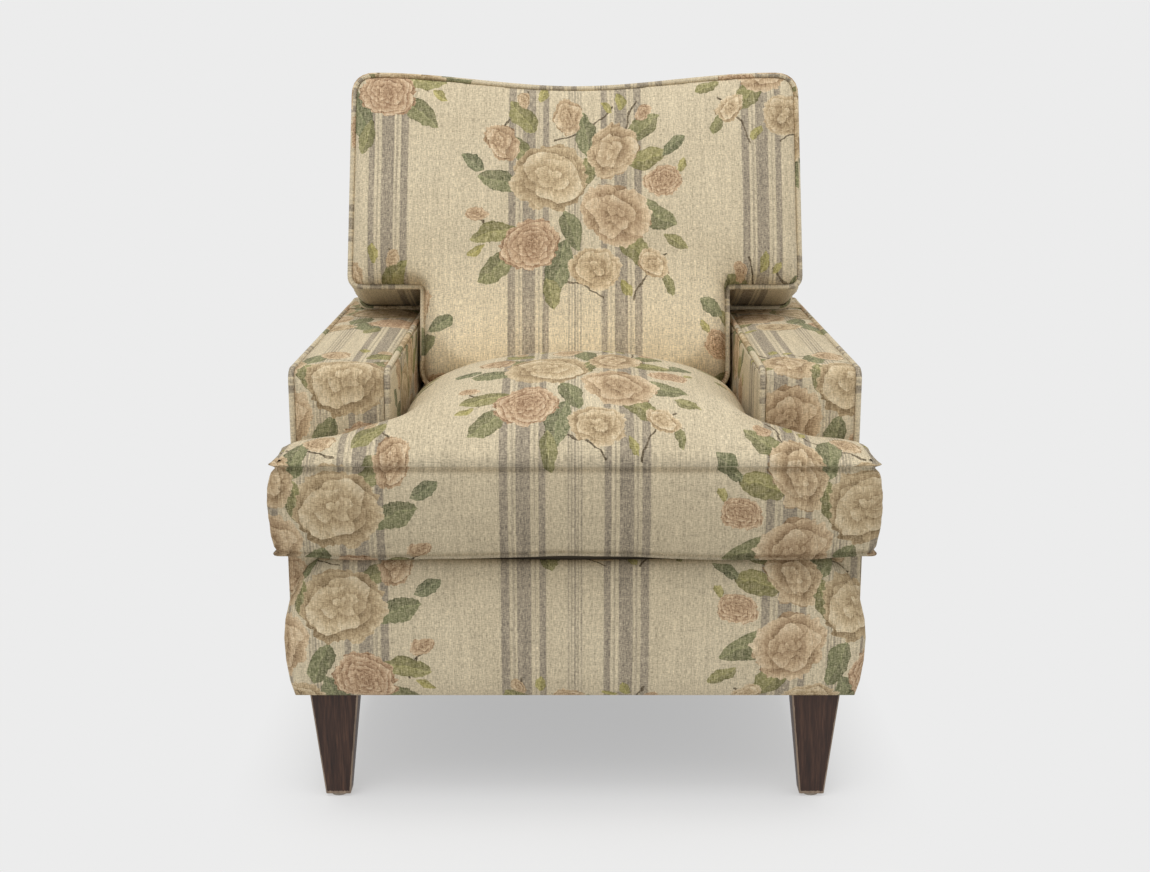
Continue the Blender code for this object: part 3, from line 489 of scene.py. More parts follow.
class Tree:
    """Short calls that add and link the nodes of one tree."""

    def __init__(self, tree):
        self.tree = tree
        self.nodes = tree.nodes
        self.links = tree.links

    def put(self, socket, value):
        if isinstance(value, bpy.types.NodeSocket):
            self.links.new(value, socket)
        elif value is not None:
            socket.default_value = value

    def fill(self, node, **values):
        """Set or link inputs by their labels, written with _ for a space."""
        for label, value in values.items():
            self.put(node.inputs[label.replace("_", " ")], value)
        return node

    def math(self, operation, a, b=None, c=None, clamp=False):
        node = self.nodes.new("ShaderNodeMath")
        node.operation = operation
        node.use_clamp = clamp
        for socket, value in zip(node.inputs, (a, b, c)):
            self.put(socket, value)
        return node.outputs[0]

    def add(self, a, b):
        return self.math("ADD", a, b)

    def sub(self, a, b):
        return self.math("SUBTRACT", a, b)

    def mul(self, a, b, clamp=False):
        return self.math("MULTIPLY", a, b, clamp=clamp)

    def mul_add(self, a, b, c, clamp=False):
        return self.math("MULTIPLY_ADD", a, b, c, clamp)

    def above(self, a, b):
        return self.math("GREATER_THAN", a, b)

    def below(self, a, b):
        return self.math("LESS_THAN", a, b)

    def vector(self, operation, a, b=None, scale=None):
        node = self.nodes.new("ShaderNodeVectorMath")
        node.operation = operation
        self.put(node.inputs[0], a)
        if b is not None:
            self.put(node.inputs[1], b)
        if scale is not None:
            self.put(node.inputs["Scale"], scale)
        return node.outputs["Value" if operation in ("LENGTH", "DISTANCE", "DOT_PRODUCT") else 0]

    def mapping(self, vector, location=(0, 0, 0), turn=0.0, scale=(1, 1, 1), kind="POINT"):
        node = self.nodes.new("ShaderNodeMapping")
        node.vector_type = kind
        self.fill(node, Vector=vector, Location=location, Rotation=(0, 0, turn), Scale=scale)
        return node.outputs[0]

    def mix(self, factor, a, b, kind="RGBA", blend="MIX"):
        node = self.nodes.new("ShaderNodeMix")
        node.data_type = kind
        if kind == "RGBA":
            node.blend_type = blend
        slot = {"FLOAT": 2, "VECTOR": 4, "RGBA": 6}[kind]
        self.put(node.inputs[0], factor)
        self.put(node.inputs[slot], a)
        self.put(node.inputs[slot + 1], b)
        return node.outputs[{"FLOAT": 0, "VECTOR": 1, "RGBA": 2}[kind]]

    def shaded(self, colour, *shares):
        """The colour times one share, or times a share for each channel."""
        shares = shares * 3 if len(shares) == 1 else shares
        return self.mix(1.0, colour, self.combine(*shares), blend="MULTIPLY")

    def noise(self, vector, scale=5.0, detail=2.0, rough=0.5, colour=False):
        node = self.nodes.new("ShaderNodeTexNoise")
        self.fill(node, Vector=vector, Scale=scale, Detail=detail, Roughness=rough)
        return node.outputs[1 if colour else 0]

    def ramp(self, factor, stops, kind="LINEAR"):
        node = self.nodes.new("ShaderNodeValToRGB")
        node.color_ramp.interpolation = kind
        elements = node.color_ramp.elements
        while len(elements) < len(stops):
            elements.new(0.5)
        for element, (place, colour) in zip(elements, stops):
            element.position = place
            element.color = (*colour, 1.0) if len(colour) == 3 else colour
        self.put(node.inputs[0], factor)
        return node.outputs[0]

    def group(self, tree, **values):
        node = self.nodes.new("ShaderNodeGroup")
        node.node_tree = tree
        return self.fill(node, **values)

    def separate(self, vector):
        node = self.nodes.new("ShaderNodeSeparateXYZ")
        self.put(node.inputs[0], vector)
        return node.outputs

    def combine(self, x, y, z=0.0):
        node = self.nodes.new("ShaderNodeCombineXYZ")
        for socket, value in zip(node.inputs, (x, y, z)):
            self.put(socket, value)
        return node.outputs[0]

    def place(self):
        """Where the shaded point lies on the chair."""
        return self.nodes.new("ShaderNodeTexCoord").outputs["Object"]

    def cloth(self):
        """Where the shaded point lies on the piece's own cloth."""
        node = self.nodes.new("ShaderNodeUVMap")
        node.uv_map = "Cloth"
        return node.outputs[0]

    def relief(self, shader, height, strength, distance):
        """Bump of the given height on the shader's normal."""
        node = self.nodes.new("ShaderNodeBump")
        self.fill(node, Strength=strength, Distance=distance, Height=height)
        self.fill(shader, Normal=node.outputs[0])


def group_tree(name, inputs, outputs):
    """Empty shader group with named sockets, and its input and output nodes."""
    tree = bpy.data.node_groups.new(name, "ShaderNodeTree")
    kinds = {"f": "NodeSocketFloat", "v": "NodeSocketVector", "c": "NodeSocketColor"}
    for label, kind, value in inputs:
        socket = tree.interface.new_socket(label, in_out="INPUT", socket_type=kinds[kind])
        if value is not None:
            socket.default_value = value
    for label, kind in outputs:
        tree.interface.new_socket(label, in_out="OUTPUT", socket_type=kinds[kind])
    build = Tree(tree)
    source = tree.nodes.new("NodeGroupInput").outputs
    target = tree.nodes.new("NodeGroupOutput").inputs
    return tree, build, source, target


def srgb(r, g, b):
    """Linear colour of an 8-bit sRGB one."""
    def line(c):
        c = c / 255
        return c / 12.92 if c <= 0.04045 else ((c + 0.055) / 1.055) ** 2.4
    return (line(r), line(g), line(b))


LINEN_PALE = srgb(210, 197, 169)
LINEN_DEEP = srgb(191, 176, 147)
STRIPE_TAUPE = srgb(148, 137, 120)
STEM_BROWN = srgb(92, 80, 62)
LEAF_GREENS = [(0.0, srgb(150, 143, 92)), (0.35, srgb(134, 132, 90)),
               (0.60, srgb(118, 122, 90)), (1.0, srgb(170, 160, 98))]
BLOOM_CREAM = [(0.05, srgb(134, 114, 82)), (0.34, srgb(172, 150, 114)),
               (0.60, srgb(200, 180, 144)), (0.92, srgb(224, 208, 176))]
BLOOM_CLAY = [(0.05, srgb(122, 90, 64)), (0.34, srgb(160, 126, 96)),
              (0.60, srgb(192, 160, 128)), (0.92, srgb(216, 192, 160))]
WALNUT = [(0.34, srgb(38, 24, 18)), (0.50, srgb(58, 38, 29)), (0.68, srgb(84, 58, 44))]
WALNUT_HIGHLIGHT = srgb(158, 138, 118)
BACKDROP = srgb(236, 236, 236)

# Half of the stripe repeat, from the thin lines at its middle outwards: where
# each stripe starts in mm from the middle, and how dark it is
STRIPE_EDGES = [(0.0, 0.9), (1.3, 0.0), (3.4, 0.8), (5.0, 0.0), (7.6, 0.75), (9.6, 0.0),
                (38.0, 1.0), (47.0, 0.0), (51.0, 0.55), (53.2, 0.0), (57.6, 1.0), (76.2, 0.0),
                (79.0, 0.6), (82.4, 0.0), (86.4, 1.0), (97.4, 0.0)]


def stripe_group():
    """Ticking stripes across U: how dark the woven stripe is."""
    tree, b, source, target = group_tree(
        "Ticking stripes", [("Cloth", "v", None), ("Wander", "f", 0.0)], [("Dark", "f")])
    u = b.mul_add(source["Wander"], STRIPE_WANDER, b.separate(source["Cloth"])[0])
    share = b.math("DIVIDE", b.math("PINGPONG", u, REPEAT_U / 2), REPEAT_U / 2)
    half = REPEAT_U / 2 * 1000  # in mm, as the edges are
    soft = STRIPE_SOFT / half
    stops = []
    for (start, dark), (end, _) in zip(STRIPE_EDGES, STRIPE_EDGES[1:] + [(half, 0.0)]):
        stops.append((start / half + (soft if start else 0.0), (dark,) * 3))
        stops.append((end / half - soft, (dark,) * 3))
    b.put(target["Dark"], b.ramp(share, stops))
    return tree


def weave_group():
    """Slubby plain weave: shade of the threads, height for the bump, patches."""
    tree, b, source, target = group_tree(
        "Slub weave", [("Cloth", "v", None)], [("Shade", "f"), ("Height", "f"), ("Patch", "f")])
    cloth = source["Cloth"]
    weft = b.noise(b.mapping(cloth, scale=(210, 900, 1)), 1.0, 1.0, 0.6)
    warp = b.noise(b.mapping(cloth, location=(7, 3, 0), scale=(900, 120, 1)), 1.0, 1.0, 0.6)
    slub = b.noise(b.mapping(cloth, location=(1, 9, 0), scale=(26, 330, 1)), 1.0, 1.0, 0.5)
    streak = b.noise(b.mapping(cloth, location=(4, 2, 0), scale=(300, 9, 1)), 1.0, 2.0, 0.6)
    speck = b.noise(cloth, 620.0, 2.0, 0.7)
    grain = b.mul(b.add(weft, warp), 1.35)
    shade = b.mul_add(slub, 0.34, grain)
    shade = b.mul_add(streak, 0.70, shade)
    shade = b.mul_add(speck, 0.50, shade)
    b.put(target["Shade"], b.sub(shade, 2.12))
    b.put(target["Height"], b.add(grain, speck))
    b.put(target["Patch"], b.noise(cloth, 7.0, 3.0, 0.55))
    return tree


# The spray, in cm from its middle. Blooms: x, y, half width, half height,
# turn in degrees, tone from cream to clay.
BLOOMS = [
    (-3.6, 2.6, 6.1, 5.6, 10, 0.12),
    (6.0, -3.0, 5.6, 5.0, -35, 0.52),
    (-6.4, -7.6, 4.7, 4.2, 30, 0.90),
    (5.6, 6.9, 4.8, 3.8, 60, 0.35),
    (3.0, -11.2, 4.1, 3.3, -10, 0.20),
    (-10.8, 8.2, 3.3, 2.5, 120, 0.66),
    (12.9, 2.2, 3.0, 2.3, 15, 0.85),
    (-1.0, 12.2, 3.0, 2.3, 80, 0.48),
    (11.4, -10.4, 2.7, 2.0, -50, 0.28),
    (-14.2, -2.8, 1.7, 1.1, 170, 0.72),
    (10.2, 13.0, 1.6, 1.1, 60, 0.74),
    (-7.6, 15.0, 1.5, 1.0, 110, 0.42),
]
# Leaves: x, y, turn in degrees, half length, tone from sage over teal to lime.
LEAVES = [
    (-7.6, 12.0, 128, 3.3, 0.10),
    (1.6, 9.4, 96, 3.4, 0.50),
    (9.9, 10.4, 42, 3.2, 0.35),
    (10.4, 5.6, 18, 3.2, 0.05),
    (11.4, -3.0, -22, 4.0, 0.45),
    (8.6, -8.2, -50, 3.6, 0.15),
    (-2.2, -10.8, -104, 3.9, 0.55),
    (-3.4, -14.6, -80, 2.4, 0.25),
    (-11.4, -11.0, -140, 3.5, 0.40),
    (-12.0, -5.8, -168, 3.4, 0.10),
    (-10.8, 2.0, 165, 3.5, 0.50),
    (-8.4, 7.0, 140, 2.8, 0.30),
    (1.4, 3.2, 75, 3.0, 0.20),
    (-0.6, -5.4, -70, 3.3, 0.50),
    (-14.8, 5.0, 150, 2.2, 0.60),
    (14.8, -7.0, -30, 2.1, 0.15),
    (14.4, 7.6, 40, 2.2, 0.55),
    (6.6, 14.6, 100, 1.5, 0.95),
    (4.7, 13.6, 130, 1.3, 1.00),
    (15.6, 4.6, 60, 1.2, 0.95),
    (-14.4, -8.4, 210, 1.3, 1.00),
    (7.4, -14.2, -60, 1.4, 0.95),
    (-4.6, 15.8, 80, 1.3, 0.98),
    (13.4, -13.2, -70, 1.6, 0.30),
]
# Stems: middle and radius of an arc, then the part of it that is drawn.
STEMS = [
    (21.0, 9.2, 13.3, 8.0, 11.0, 4.2),
    (-18.4, -7.6, 6.0, -13.2, -4.8, 3.0),
    (23.0, -20.7, 15.4, 10.0, -11.8, 4.4),
    (-17.2, 18.4, 10.3, -8.4, 13.0, 3.8),
    (-7.0, 25.0, 17.0, 1.6, 10.4, 5.2),
    (-4.0, -26.0, 13.4, 0.2, -13.4, 4.6),
]


def bloom_group():
    """Ruffled bloom: petals as cells on a tube whose length is the radius."""
    tree, b, source, target = group_tree(
        "Ruffled bloom", [("Spot", "v", None), ("Kind", "f", 0.0)],
        [("Shade", "f"), ("Cover", "f")])
    radius = b.vector("LENGTH", source["Spot"])
    rim = b.vector("NORMALIZE", source["Spot"])
    full = b.mul_add(b.above(source["Kind"], 0.78), 1.3, 1.05)
    depth = b.mul(b.math("POWER", radius, 0.8), b.mul(full, 3.1))
    lift = b.mul_add(source["Kind"], 17.0, depth)
    tube = b.vector("ADD", b.vector("SCALE", rim, scale=full), b.combine(0.0, 0.0, lift))
    cells = b.nodes.new("ShaderNodeTexVoronoi")
    b.fill(cells, Vector=tube, Scale=1.0, Randomness=0.85)
    middle = b.separate(cells.outputs["Position"])[2]
    tilt = b.sub(lift, middle)
    luck = b.separate(cells.outputs["Color"])[0]
    shade = b.mul_add(tilt, 0.55, 0.50)
    shade = b.mul_add(luck, 0.22, shade)
    edge = b.mul(cells.outputs["Distance"], cells.outputs["Distance"])
    shade = b.mul_add(edge, -0.30, shade)
    veins = b.noise(b.mapping(tube, scale=(7.5, 7.5, 1.6)), 1.0, 3.0, 0.7)
    shade = b.mul_add(veins, 0.80, b.sub(shade, 0.38))
    heart = b.mul_add(radius, 0.34, 0.70)
    b.put(target["Shade"], b.mul(shade, heart, clamp=True))
    ruffle = b.noise(b.vector("SCALE", rim, scale=2.3), 1.0, 2.0, 0.65)
    ruffle = b.mul_add(ruffle, 0.56, 0.64)
    b.put(target["Cover"], b.below(radius, ruffle))
    return tree


def stamped(b, spot, motifs, reach, bow=0.0):
    """Motifs printed one over another: place on the topmost, its tone, their cover.

    A motif is an ellipse, or with a bow the leaf between two arcs.
    """
    on_motif = b.combine(3.0, 3.0)
    tone = cover = 0.0
    for x, y, wide, high, turn, motif_tone in motifs:
        q = b.mapping(spot, (x, y, 0), math.radians(turn), (wide, high, 1), "TEXTURE")
        span = b.vector("ADD", b.vector("ABSOLUTE", q), (0, bow, 0)) if bow else q
        within = b.below(b.vector("LENGTH", span), reach)
        on_motif = b.mix(within, on_motif, q, "VECTOR")
        tone = b.mix(within, tone, motif_tone, "FLOAT")
        cover = b.math("MAXIMUM", cover, within)
    return on_motif, tone, cover


def spray_group():
    """The flower spray in its half-drop repeat: colour and how much it covers."""
    tree, b, source, target = group_tree(
        "Rose spray", [("Cloth", "v", None)], [("Colour", "c"), ("Cover", "f")])
    bloom_tree = bloom_group()
    part = b.separate(source["Cloth"])
    column = b.math("FLOOR", b.math("DIVIDE", b.add(part[0], REPEAT_U / 2), REPEAT_U))
    odd = b.math("PINGPONG", column, 1.0)
    drop = b.mul_add(odd, REPEAT_V / 2, part[1])
    row = b.math("FLOOR", b.math("DIVIDE", b.add(drop, REPEAT_V / 2), REPEAT_V))
    u = b.mul_add(column, -REPEAT_U, part[0])
    v = b.mul_add(row, -REPEAT_V, drop)
    u = b.mul(u, b.mul_add(odd, -2.0, 1.0))
    spot = b.vector("SCALE", b.combine(u, v), scale=100.0)
    for scale, size in BLEED:
        shift = b.noise(source["Cloth"], scale, 1.0, 0.5, colour=True)
        shift = b.vector("SUBTRACT", shift, (0.5, 0.5, 0.5))
        spot = b.vector("ADD", spot, b.vector("SCALE", shift, scale=size))
    flat = b.separate(spot)
    spot = b.combine(flat[0], flat[1])
    mottle = b.noise(source["Cloth"], 120.0, 3.0, 0.65)

    stem = None
    for cx, cy, radius, x, y, reach in STEMS:
        ring = b.sub(b.vector("DISTANCE", spot, (cx, cy, 0)), radius)
        near = b.below(b.vector("DISTANCE", spot, (x, y, 0)), reach)
        line = b.mul(b.below(b.math("ABSOLUTE", ring), STEM_HALF), near)
        stem = line if stem is None else b.math("MAXIMUM", stem, line)

    leaf_spot, leaf_tone, leaf_in = stamped(
        b, spot, [(x, y, half, half, turn, tone) for x, y, turn, half, tone in LEAVES],
        LEAF_REACH, LEAF_BOW)
    leaf = b.separate(leaf_spot)
    side = b.math("ABSOLUTE", leaf[1])
    veins = b.math("SINE", b.mul(b.sub(leaf[0], side), 17.0))
    light = b.mul_add(b.above(leaf[1], 0.0), 0.24, 0.72)
    light = b.mul_add(veins, 0.07, light)
    light = b.mul_add(b.below(side, 0.035), 0.30, light)
    light = b.mul_add(b.above(side, 0.40), -0.16, light)
    light = b.mul_add(b.sub(mottle, 0.5), 0.8, light)
    leaf_colour = b.shaded(b.ramp(leaf_tone, LEAF_GREENS), light)

    bloom_spot, bloom_tone, bloom_in = stamped(b, spot, reversed(BLOOMS), 1.0)
    bloom = b.group(bloom_tree, Spot=bloom_spot, Kind=bloom_tone)
    bloom_in = b.mul(bloom_in, bloom.outputs["Cover"])
    shade = bloom.outputs["Shade"]
    bloom_colour = b.mix(bloom_tone, b.ramp(shade, BLOOM_CREAM), b.ramp(shade, BLOOM_CLAY))

    colour = b.mix(leaf_in, (*STEM_BROWN, 1.0), leaf_colour)
    b.put(target["Colour"], b.mix(bloom_in, colour, bloom_colour))
    b.put(target["Cover"], b.math("MAXIMUM", b.math("MAXIMUM", leaf_in, bloom_in), stem))
    return tree


def light_and_shade_group():
    """Painted light on the lower back and painted shade down the front, under the seat cushion."""
    tree, b, source, target = group_tree(
        "Painted light and shade", [("Place", "v", None), ("Patch", "f", 0.5)],
        [("Painted Light", "f"), ("Painted Shade", "f")])
    x, y, z = b.separate(source["Place"])
    along = {"x": b.math("ABSOLUTE", x), "y": y, "z": z}

    def past(value, start, over):
        """0 up to start, rising to 1 over the given distance."""
        return b.mul_add(value, 1 / over, -start / over, clamp=True)

    # Painted light: the lower back made paler where the seat and arms shade it
    lower_back_light = 1.0
    for axis, start, over in PAINTED_LIGHT_BOUNDS:
        lower_back_light = b.mul(lower_back_light, past(along[axis], start, over))
    b.put(target["Painted Light"], lower_back_light)
    # Painted shade: the front darkens under the seat cushion's overhang and down its boxing
    span = PAINTED_SHADE_HIGH - PAINTED_SHADE_LOW
    height = past(z, PAINTED_SHADE_LOW, span)
    painted_shade = b.ramp(height, [((level - PAINTED_SHADE_LOW) / span, (share,) * 3)
                           for level, share in PAINTED_SHADE_STEPS])
    painted_shade = b.mul(painted_shade, past(y, *PAINTED_SHADE_FRONT))
    b.put(target["Painted Shade"], b.mul(painted_shade, b.mul_add(source["Patch"], 0.9, 0.55)))
    return tree


def new_material(name):
    mat = bpy.data.materials.new(name)
    mat.use_nodes = True
    tree = Tree(mat.node_tree)
    shader = mat.node_tree.nodes["Principled BSDF"]
    return mat, tree, shader


def linen_material(stripes, weave, spray, painted_light):
    """Printed linen: woven ground, ticking stripes, the faded spray over them, painted light and
    shade.
    """
    mat, b, shader = new_material("Printed linen")
    cloth = b.cloth()
    threads = b.group(weave, Cloth=cloth)
    patch = threads.outputs["Patch"]
    lines = b.group(stripes, Cloth=cloth, Wander=b.sub(patch, 0.5))
    flowers = b.group(spray, Cloth=cloth)
    ground = b.mix(patch, (*LINEN_DEEP, 1), (*LINEN_PALE, 1))
    worn_and_highlit = b.mul_add(threads.outputs["Shade"], -0.55, 0.86)
    dark = b.mul(lines.outputs["Dark"], worn_and_highlit, clamp=True)
    striped = b.mix(dark, ground, (*STRIPE_TAUPE, 1))
    ink = b.mul_add(threads.outputs["Shade"], -0.5, 0.86)
    printed = b.mix(b.mul(flowers.outputs["Cover"], ink, clamp=True),
                    striped, flowers.outputs["Colour"])
    shade = b.mul_add(threads.outputs["Shade"], 0.80, 1.0)
    # Painted light on the lower back, painted shade down the front
    painted_marks = b.group(painted_light, Place=b.place(), Patch=patch)
    shade = b.mul(shade, b.mul_add(painted_marks.outputs["Painted Light"], PAINTED_LIGHT_SHARE, 1.0))
    painted_shade_rgb = [b.mul(shade, b.mul_add(painted_marks.outputs["Painted Shade"], -share, 1.0)) for share in PAINTED_SHADE_TINT]
    b.fill(shader, Base_Color=b.shaded(printed, *painted_shade_rgb), Roughness=0.93, Specular_IOR_Level=0.15)
    b.relief(shader, threads.outputs["Height"], 0.5, 0.0009)
    return mat


def wood_material(name, dark, light, roughness, scale):
    """Straight-grained wood along Z, with fine pores."""
    mat, b, shader = new_material(name)
    place = b.place()
    bent = b.noise(b.mapping(place, scale=(7, 7, 1.6)), 1.0, 2.0, 0.5)
    figure = b.noise(b.mapping(place, scale=(scale, scale, scale * 0.06)), 1.0, 4.0, 0.55)
    mixed = b.mul_add(bent, 0.55, b.mul(figure, 0.6))
    fine = b.mapping(place, location=(3, 1, 7), scale=(scale * 9, scale * 9, scale * 0.35))
    pores = b.noise(fine, 1.0, 1.0, 0.5)
    mixed = b.mul_add(pores, 0.22, mixed)
    between = tuple((a + c) / 2 for a, c in zip(dark, light))
    b.fill(shader, Base_Color=b.ramp(mixed, [(0.35, dark), (0.60, between), (0.85, light)]),
           Roughness=b.mul_add(pores, 0.25, roughness - 0.12))
    b.relief(shader, pores, 0.25, 0.0004)
    return mat


def plain_material(name, colour, roughness, metallic, weave):
    """Cloth, wire or plastic of one colour with a fine uneven surface."""
    mat, b, shader = new_material(name)
    fine = b.noise(b.place(), weave, 2.0, 0.6)
    tone = b.mul_add(fine, 0.5, 0.75)
    b.fill(shader, Base_Color=b.shaded((*colour, 1), tone),
           Roughness=b.mul_add(fine, 0.3, roughness - 0.15), Metallic=metallic)
    return mat


def walnut_material():
    """Dark stained walnut; a painted highlight runs along the arrises and round the foot."""
    mat, b, shader = new_material("Walnut stain")
    place = b.place()
    bend = b.noise(b.mapping(place, scale=(9, 9, 3)), 1.0, 2.0, 0.5)
    bent = b.vector("ADD", place, b.combine(b.mul(bend, 0.05), 0.0, 0.0))
    figure = b.noise(b.mapping(bent, scale=(150, 60, 7)), 1.0, 3.0, 0.6)
    pores = b.noise(b.mapping(place, scale=(700, 700, 30)), 1.0, 1.0, 0.5)
    mixed = b.mul_add(pores, 0.35, b.mul(figure, 0.65))
    round_leg, up_leg, _ = b.separate(b.cloth())
    side = b.math("PINGPONG", round_leg, 0.5)
    # Painted highlight: a pale line along each arris and round the foot
    arris_highlight = b.below(b.mul_add(pores, 0.03, side), 0.046)
    foot = b.below(b.mul_add(pores, 0.02, up_leg), 0.034)
    painted_light = b.mul(b.math("MAXIMUM", arris_highlight, foot), b.mul_add(figure, 1.2, 0.05))
    worn_and_highlit = b.mix(b.math("MINIMUM", painted_light, 1.0), b.ramp(mixed, WALNUT), (*WALNUT_HIGHLIGHT, 1.0))
    b.fill(shader, Base_Color=worn_and_highlit, Roughness=b.mul_add(pores, 0.25, 0.34),
           Specular_IOR_Level=0.35)
    b.relief(shader, mixed, 0.3, 0.0003)
    return mat


# Places read from the frame

seat_low, seat_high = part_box("seat_cushion")
_, arm_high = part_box("right_outside_arm")
inner_low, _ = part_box("right_inside_arm")
band_low, band_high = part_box("right_arm_band")
border_low, border_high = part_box("front_border")
_, deck_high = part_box("seat_deck")
leg_low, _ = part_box("front_right_leg")
outside_low, outside_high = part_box("outside_back")
inside_low, inside_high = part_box("inside_back")

FRONT = leg_low.y - GAP
SEAT_NOSE = seat_low.y + SEAT_BULGE
SEAT_EAR_X = seat_high.x - SEAT_BULGE - SEAT_DOG_EAR / 2
ARM_FRONT = band_low.y
ARM_TOP_Z = band_high.z
ARM_INNER_X = inner_low.x
SEAM_FOOT_Y = SEAT_NOSE + SEAM_FOOT_BEHIND
BORDER_REAR = border_high.y - BORDER_LIFT


def inside_back_y(z, depth=0.0):
    """Front surface of the leaning inside back, or a layer behind it."""
    return inside_low.y + (z - inside_low.z) * math.tan(BACK_LEAN) + depth / math.cos(BACK_LEAN)


def outside_back_y(z, depth=0.0):
    """Rear surface of the raked outside back, or a layer in front of it."""
    rear = outside_high.y - (outside_high.z - z) * math.tan(BACK_RAKE)
    return rear - depth / math.cos(BACK_RAKE)


def back_place(x, v, w):
    """Point of the back cushion: v up its plane, w out of its front."""
    s, c = math.sin(BACK_LEAN), math.cos(BACK_LEAN)
    return (x, SEAM_FOOT_Y + v * s - w * c, SEAM_FOOT_Z + v * c + w * s)


def seat_outline(rear, spacing):
    """T outline of the seat cushion's seam, ears in front of the arms."""
    stem = ARM_INNER_X - SEAT_CLEARANCE
    ear_rear = ARM_FRONT - SEAT_CLEARANCE
    point_x = SEAT_EAR_X + SEAT_DOG_EAR
    middle = (SEAT_NOSE + ear_rear) / 2
    right = [(point_x, SEAT_NOSE), (SEAT_EAR_X, middle), (point_x, ear_rear),
             (stem, ear_rear), (stem, rear)]
    return symmetric(right, SEAT_NOSE, rear, SEAT_CORNERS, 4, spacing)


def make_seat_cushion(linen):
    """Loose T cushion: high crown, rolled seams and soft boxing."""
    outline = seat_outline(seat_high.y - SEAT_SIDE_BULGE, CUSHION_STEP)
    dome = crown_over(seat_outline(SEAT_NOSE + SEAT_DOME_DEPTH, 0.01), *CUSHION_NET)
    base = crown_over(outline, *SEAT_BASE_NET)
    boxing = SEAT_SEAM_TOP_Z - SEAT_SEAM_BOTTOM_Z
    drop = SEAT_SEAM_BOTTOM_Z - deck_high.z - GAP
    ear_rear = ARM_FRONT - 2 * SEAT_CLEARANCE
    seam, last = len(ROLL_INSET), SEAT_RINGS - 1
    tips = [Vector((SEAT_EAR_X + SEAT_DOG_EAR, y)) for y in (SEAT_NOSE, ear_rear)]

    def crown(x, y):
        t = (np.abs(x) - SEAT_EAR_X + SEAT_SLACK_REACH) / (SEAT_SLACK_REACH / 2)
        t = np.clip(t, 0, 1)
        slack = 1 - SEAT_EAR_SLACK * t * t * (3 - 2 * t)
        return SEAT_CROWN * np.maximum(dome.read(x, y), 0.0) ** CROWN_POWER * slack

    def upper(x, y):
        z = SEAT_SEAM_TOP_Z + crown(x, y)
        free = np.clip(base.read(x, y) * 9, 0, 1) * (y < COVERED_Y)
        return z + rumples(x, y, SEAT_WAVES) * free

    def lower(x, y):
        return SEAT_SEAM_BOTTOM_Z - drop * np.minimum(1.0, 14 * base.read(x, y))

    def lean(point):
        return SEAT_LEAN * clamp01((ear_rear - point.y) / (ear_rear - SEAT_NOSE))

    def droop(point):
        """How far the front's lower edge hangs between the middle and the ears."""
        front = smooth((SEAT_NOSE + NOSE_ROUND - point.y) / NOSE_ROUND)
        x, (middle, ear) = abs(point.x), SEAT_SAG_FADE
        sag = SEAT_SAG * smooth(x / middle) * smooth((SEAT_EAR_X - x) / ear)
        return front * (SEAT_HANG + sag + rumple_at(point.x, 0.0, HANG_WAVES))

    def ring(k, point, normal):
        free = smooth((ear_rear - point.y) / EAR_FREE)
        near = min((Vector((abs(point.x), point.y)) - tip).length for tip in tips)
        corner = hump(near, 1.0, 0.0, EAR_TIP_REACH)
        pucker = rumple_at(*point, PUCKER_WAVES)
        if k < seam:
            u, v = point - normal * ROLL_INSET[k]
            dent = ROLL_DIP[k] - ROLL_PUCKER[k] * pucker
            rise = crown(np.array([u]), np.array([v]))[0]
            return u, v, SEAT_SEAM_TOP_Z + rise - dent * free
        if k in (seam, last):
            u, v = point + normal * free * (SEAM_RIDGE + EAR_TIP * corner)
            tip = free * (SEAM_LIFT + EAR_TIP * corner)
            if k == seam:
                return u, v, SEAT_SEAM_TOP_Z + tip
            return u, v + lean(point), SEAT_SEAM_BOTTOM_Z - droop(point) - LOWER_LIFT * tip
        t = (k - seam) / (last - seam)
        t = 0.5 - 0.5 * math.cos(math.pi * (0.03 + 0.94 * t))
        depth = boxing * t
        swell = SEAT_SIDE_BULGE + (SEAT_BULGE - SEAT_SIDE_BULGE) * free
        wave = 0.94 + 0.20 * ripple(point.x, point.y, t, 0.10, 2.2)
        out = swell * math.sin(math.pi * t) ** BOXING_ROUND * wave
        edge = math.exp(-depth / PUCKER_REACH) + math.exp((depth - boxing) / PUCKER_REACH)
        out += free * (PUCKER * pucker * edge - hump(depth, *UPPER_TUCK)
                       - hump(boxing - depth, *LOWER_TUCK))
        u, v = point + normal * out
        return u, v + lean(point) * t, SEAT_SEAM_TOP_Z - depth - droop(point) * smooth(t * 1.3)

    def place(u, v, w):
        return (u, v, w)

    arc = Field(outline, CUSHION_NET[0])
    slope = np.gradient(crown(arc.x, arc.y), arc.step, axis=1)
    arc.values = np.cumsum(np.sqrt(1 + slope ** 2) * arc.step, axis=1)
    start = arc.read(0.0, SEAT_NOSE)

    def skin(x, y):
        return np.stack([x, SEAT_V + arc.read(x, y) - start], axis=1)

    def under(x, y):
        return np.stack([x, SEAT_V - boxing - (y - SEAT_NOSE)], axis=1)

    obj = stuffed("seat_cushion_cover", outline, CUSHION_STEP, SEAT_RINGS, ring, upper, lower,
                  place, (skin, under, (outline[0][0], SEAT_V)), linen, seam)
    keep(obj, "seat_cushion")


def top_dip(x):
    """How far the slack top edge hangs below its corners."""
    return CUSHION_TOP_DIP * (1 - smooth(abs(x) / (CUSHION_EAR_X * 0.9)))


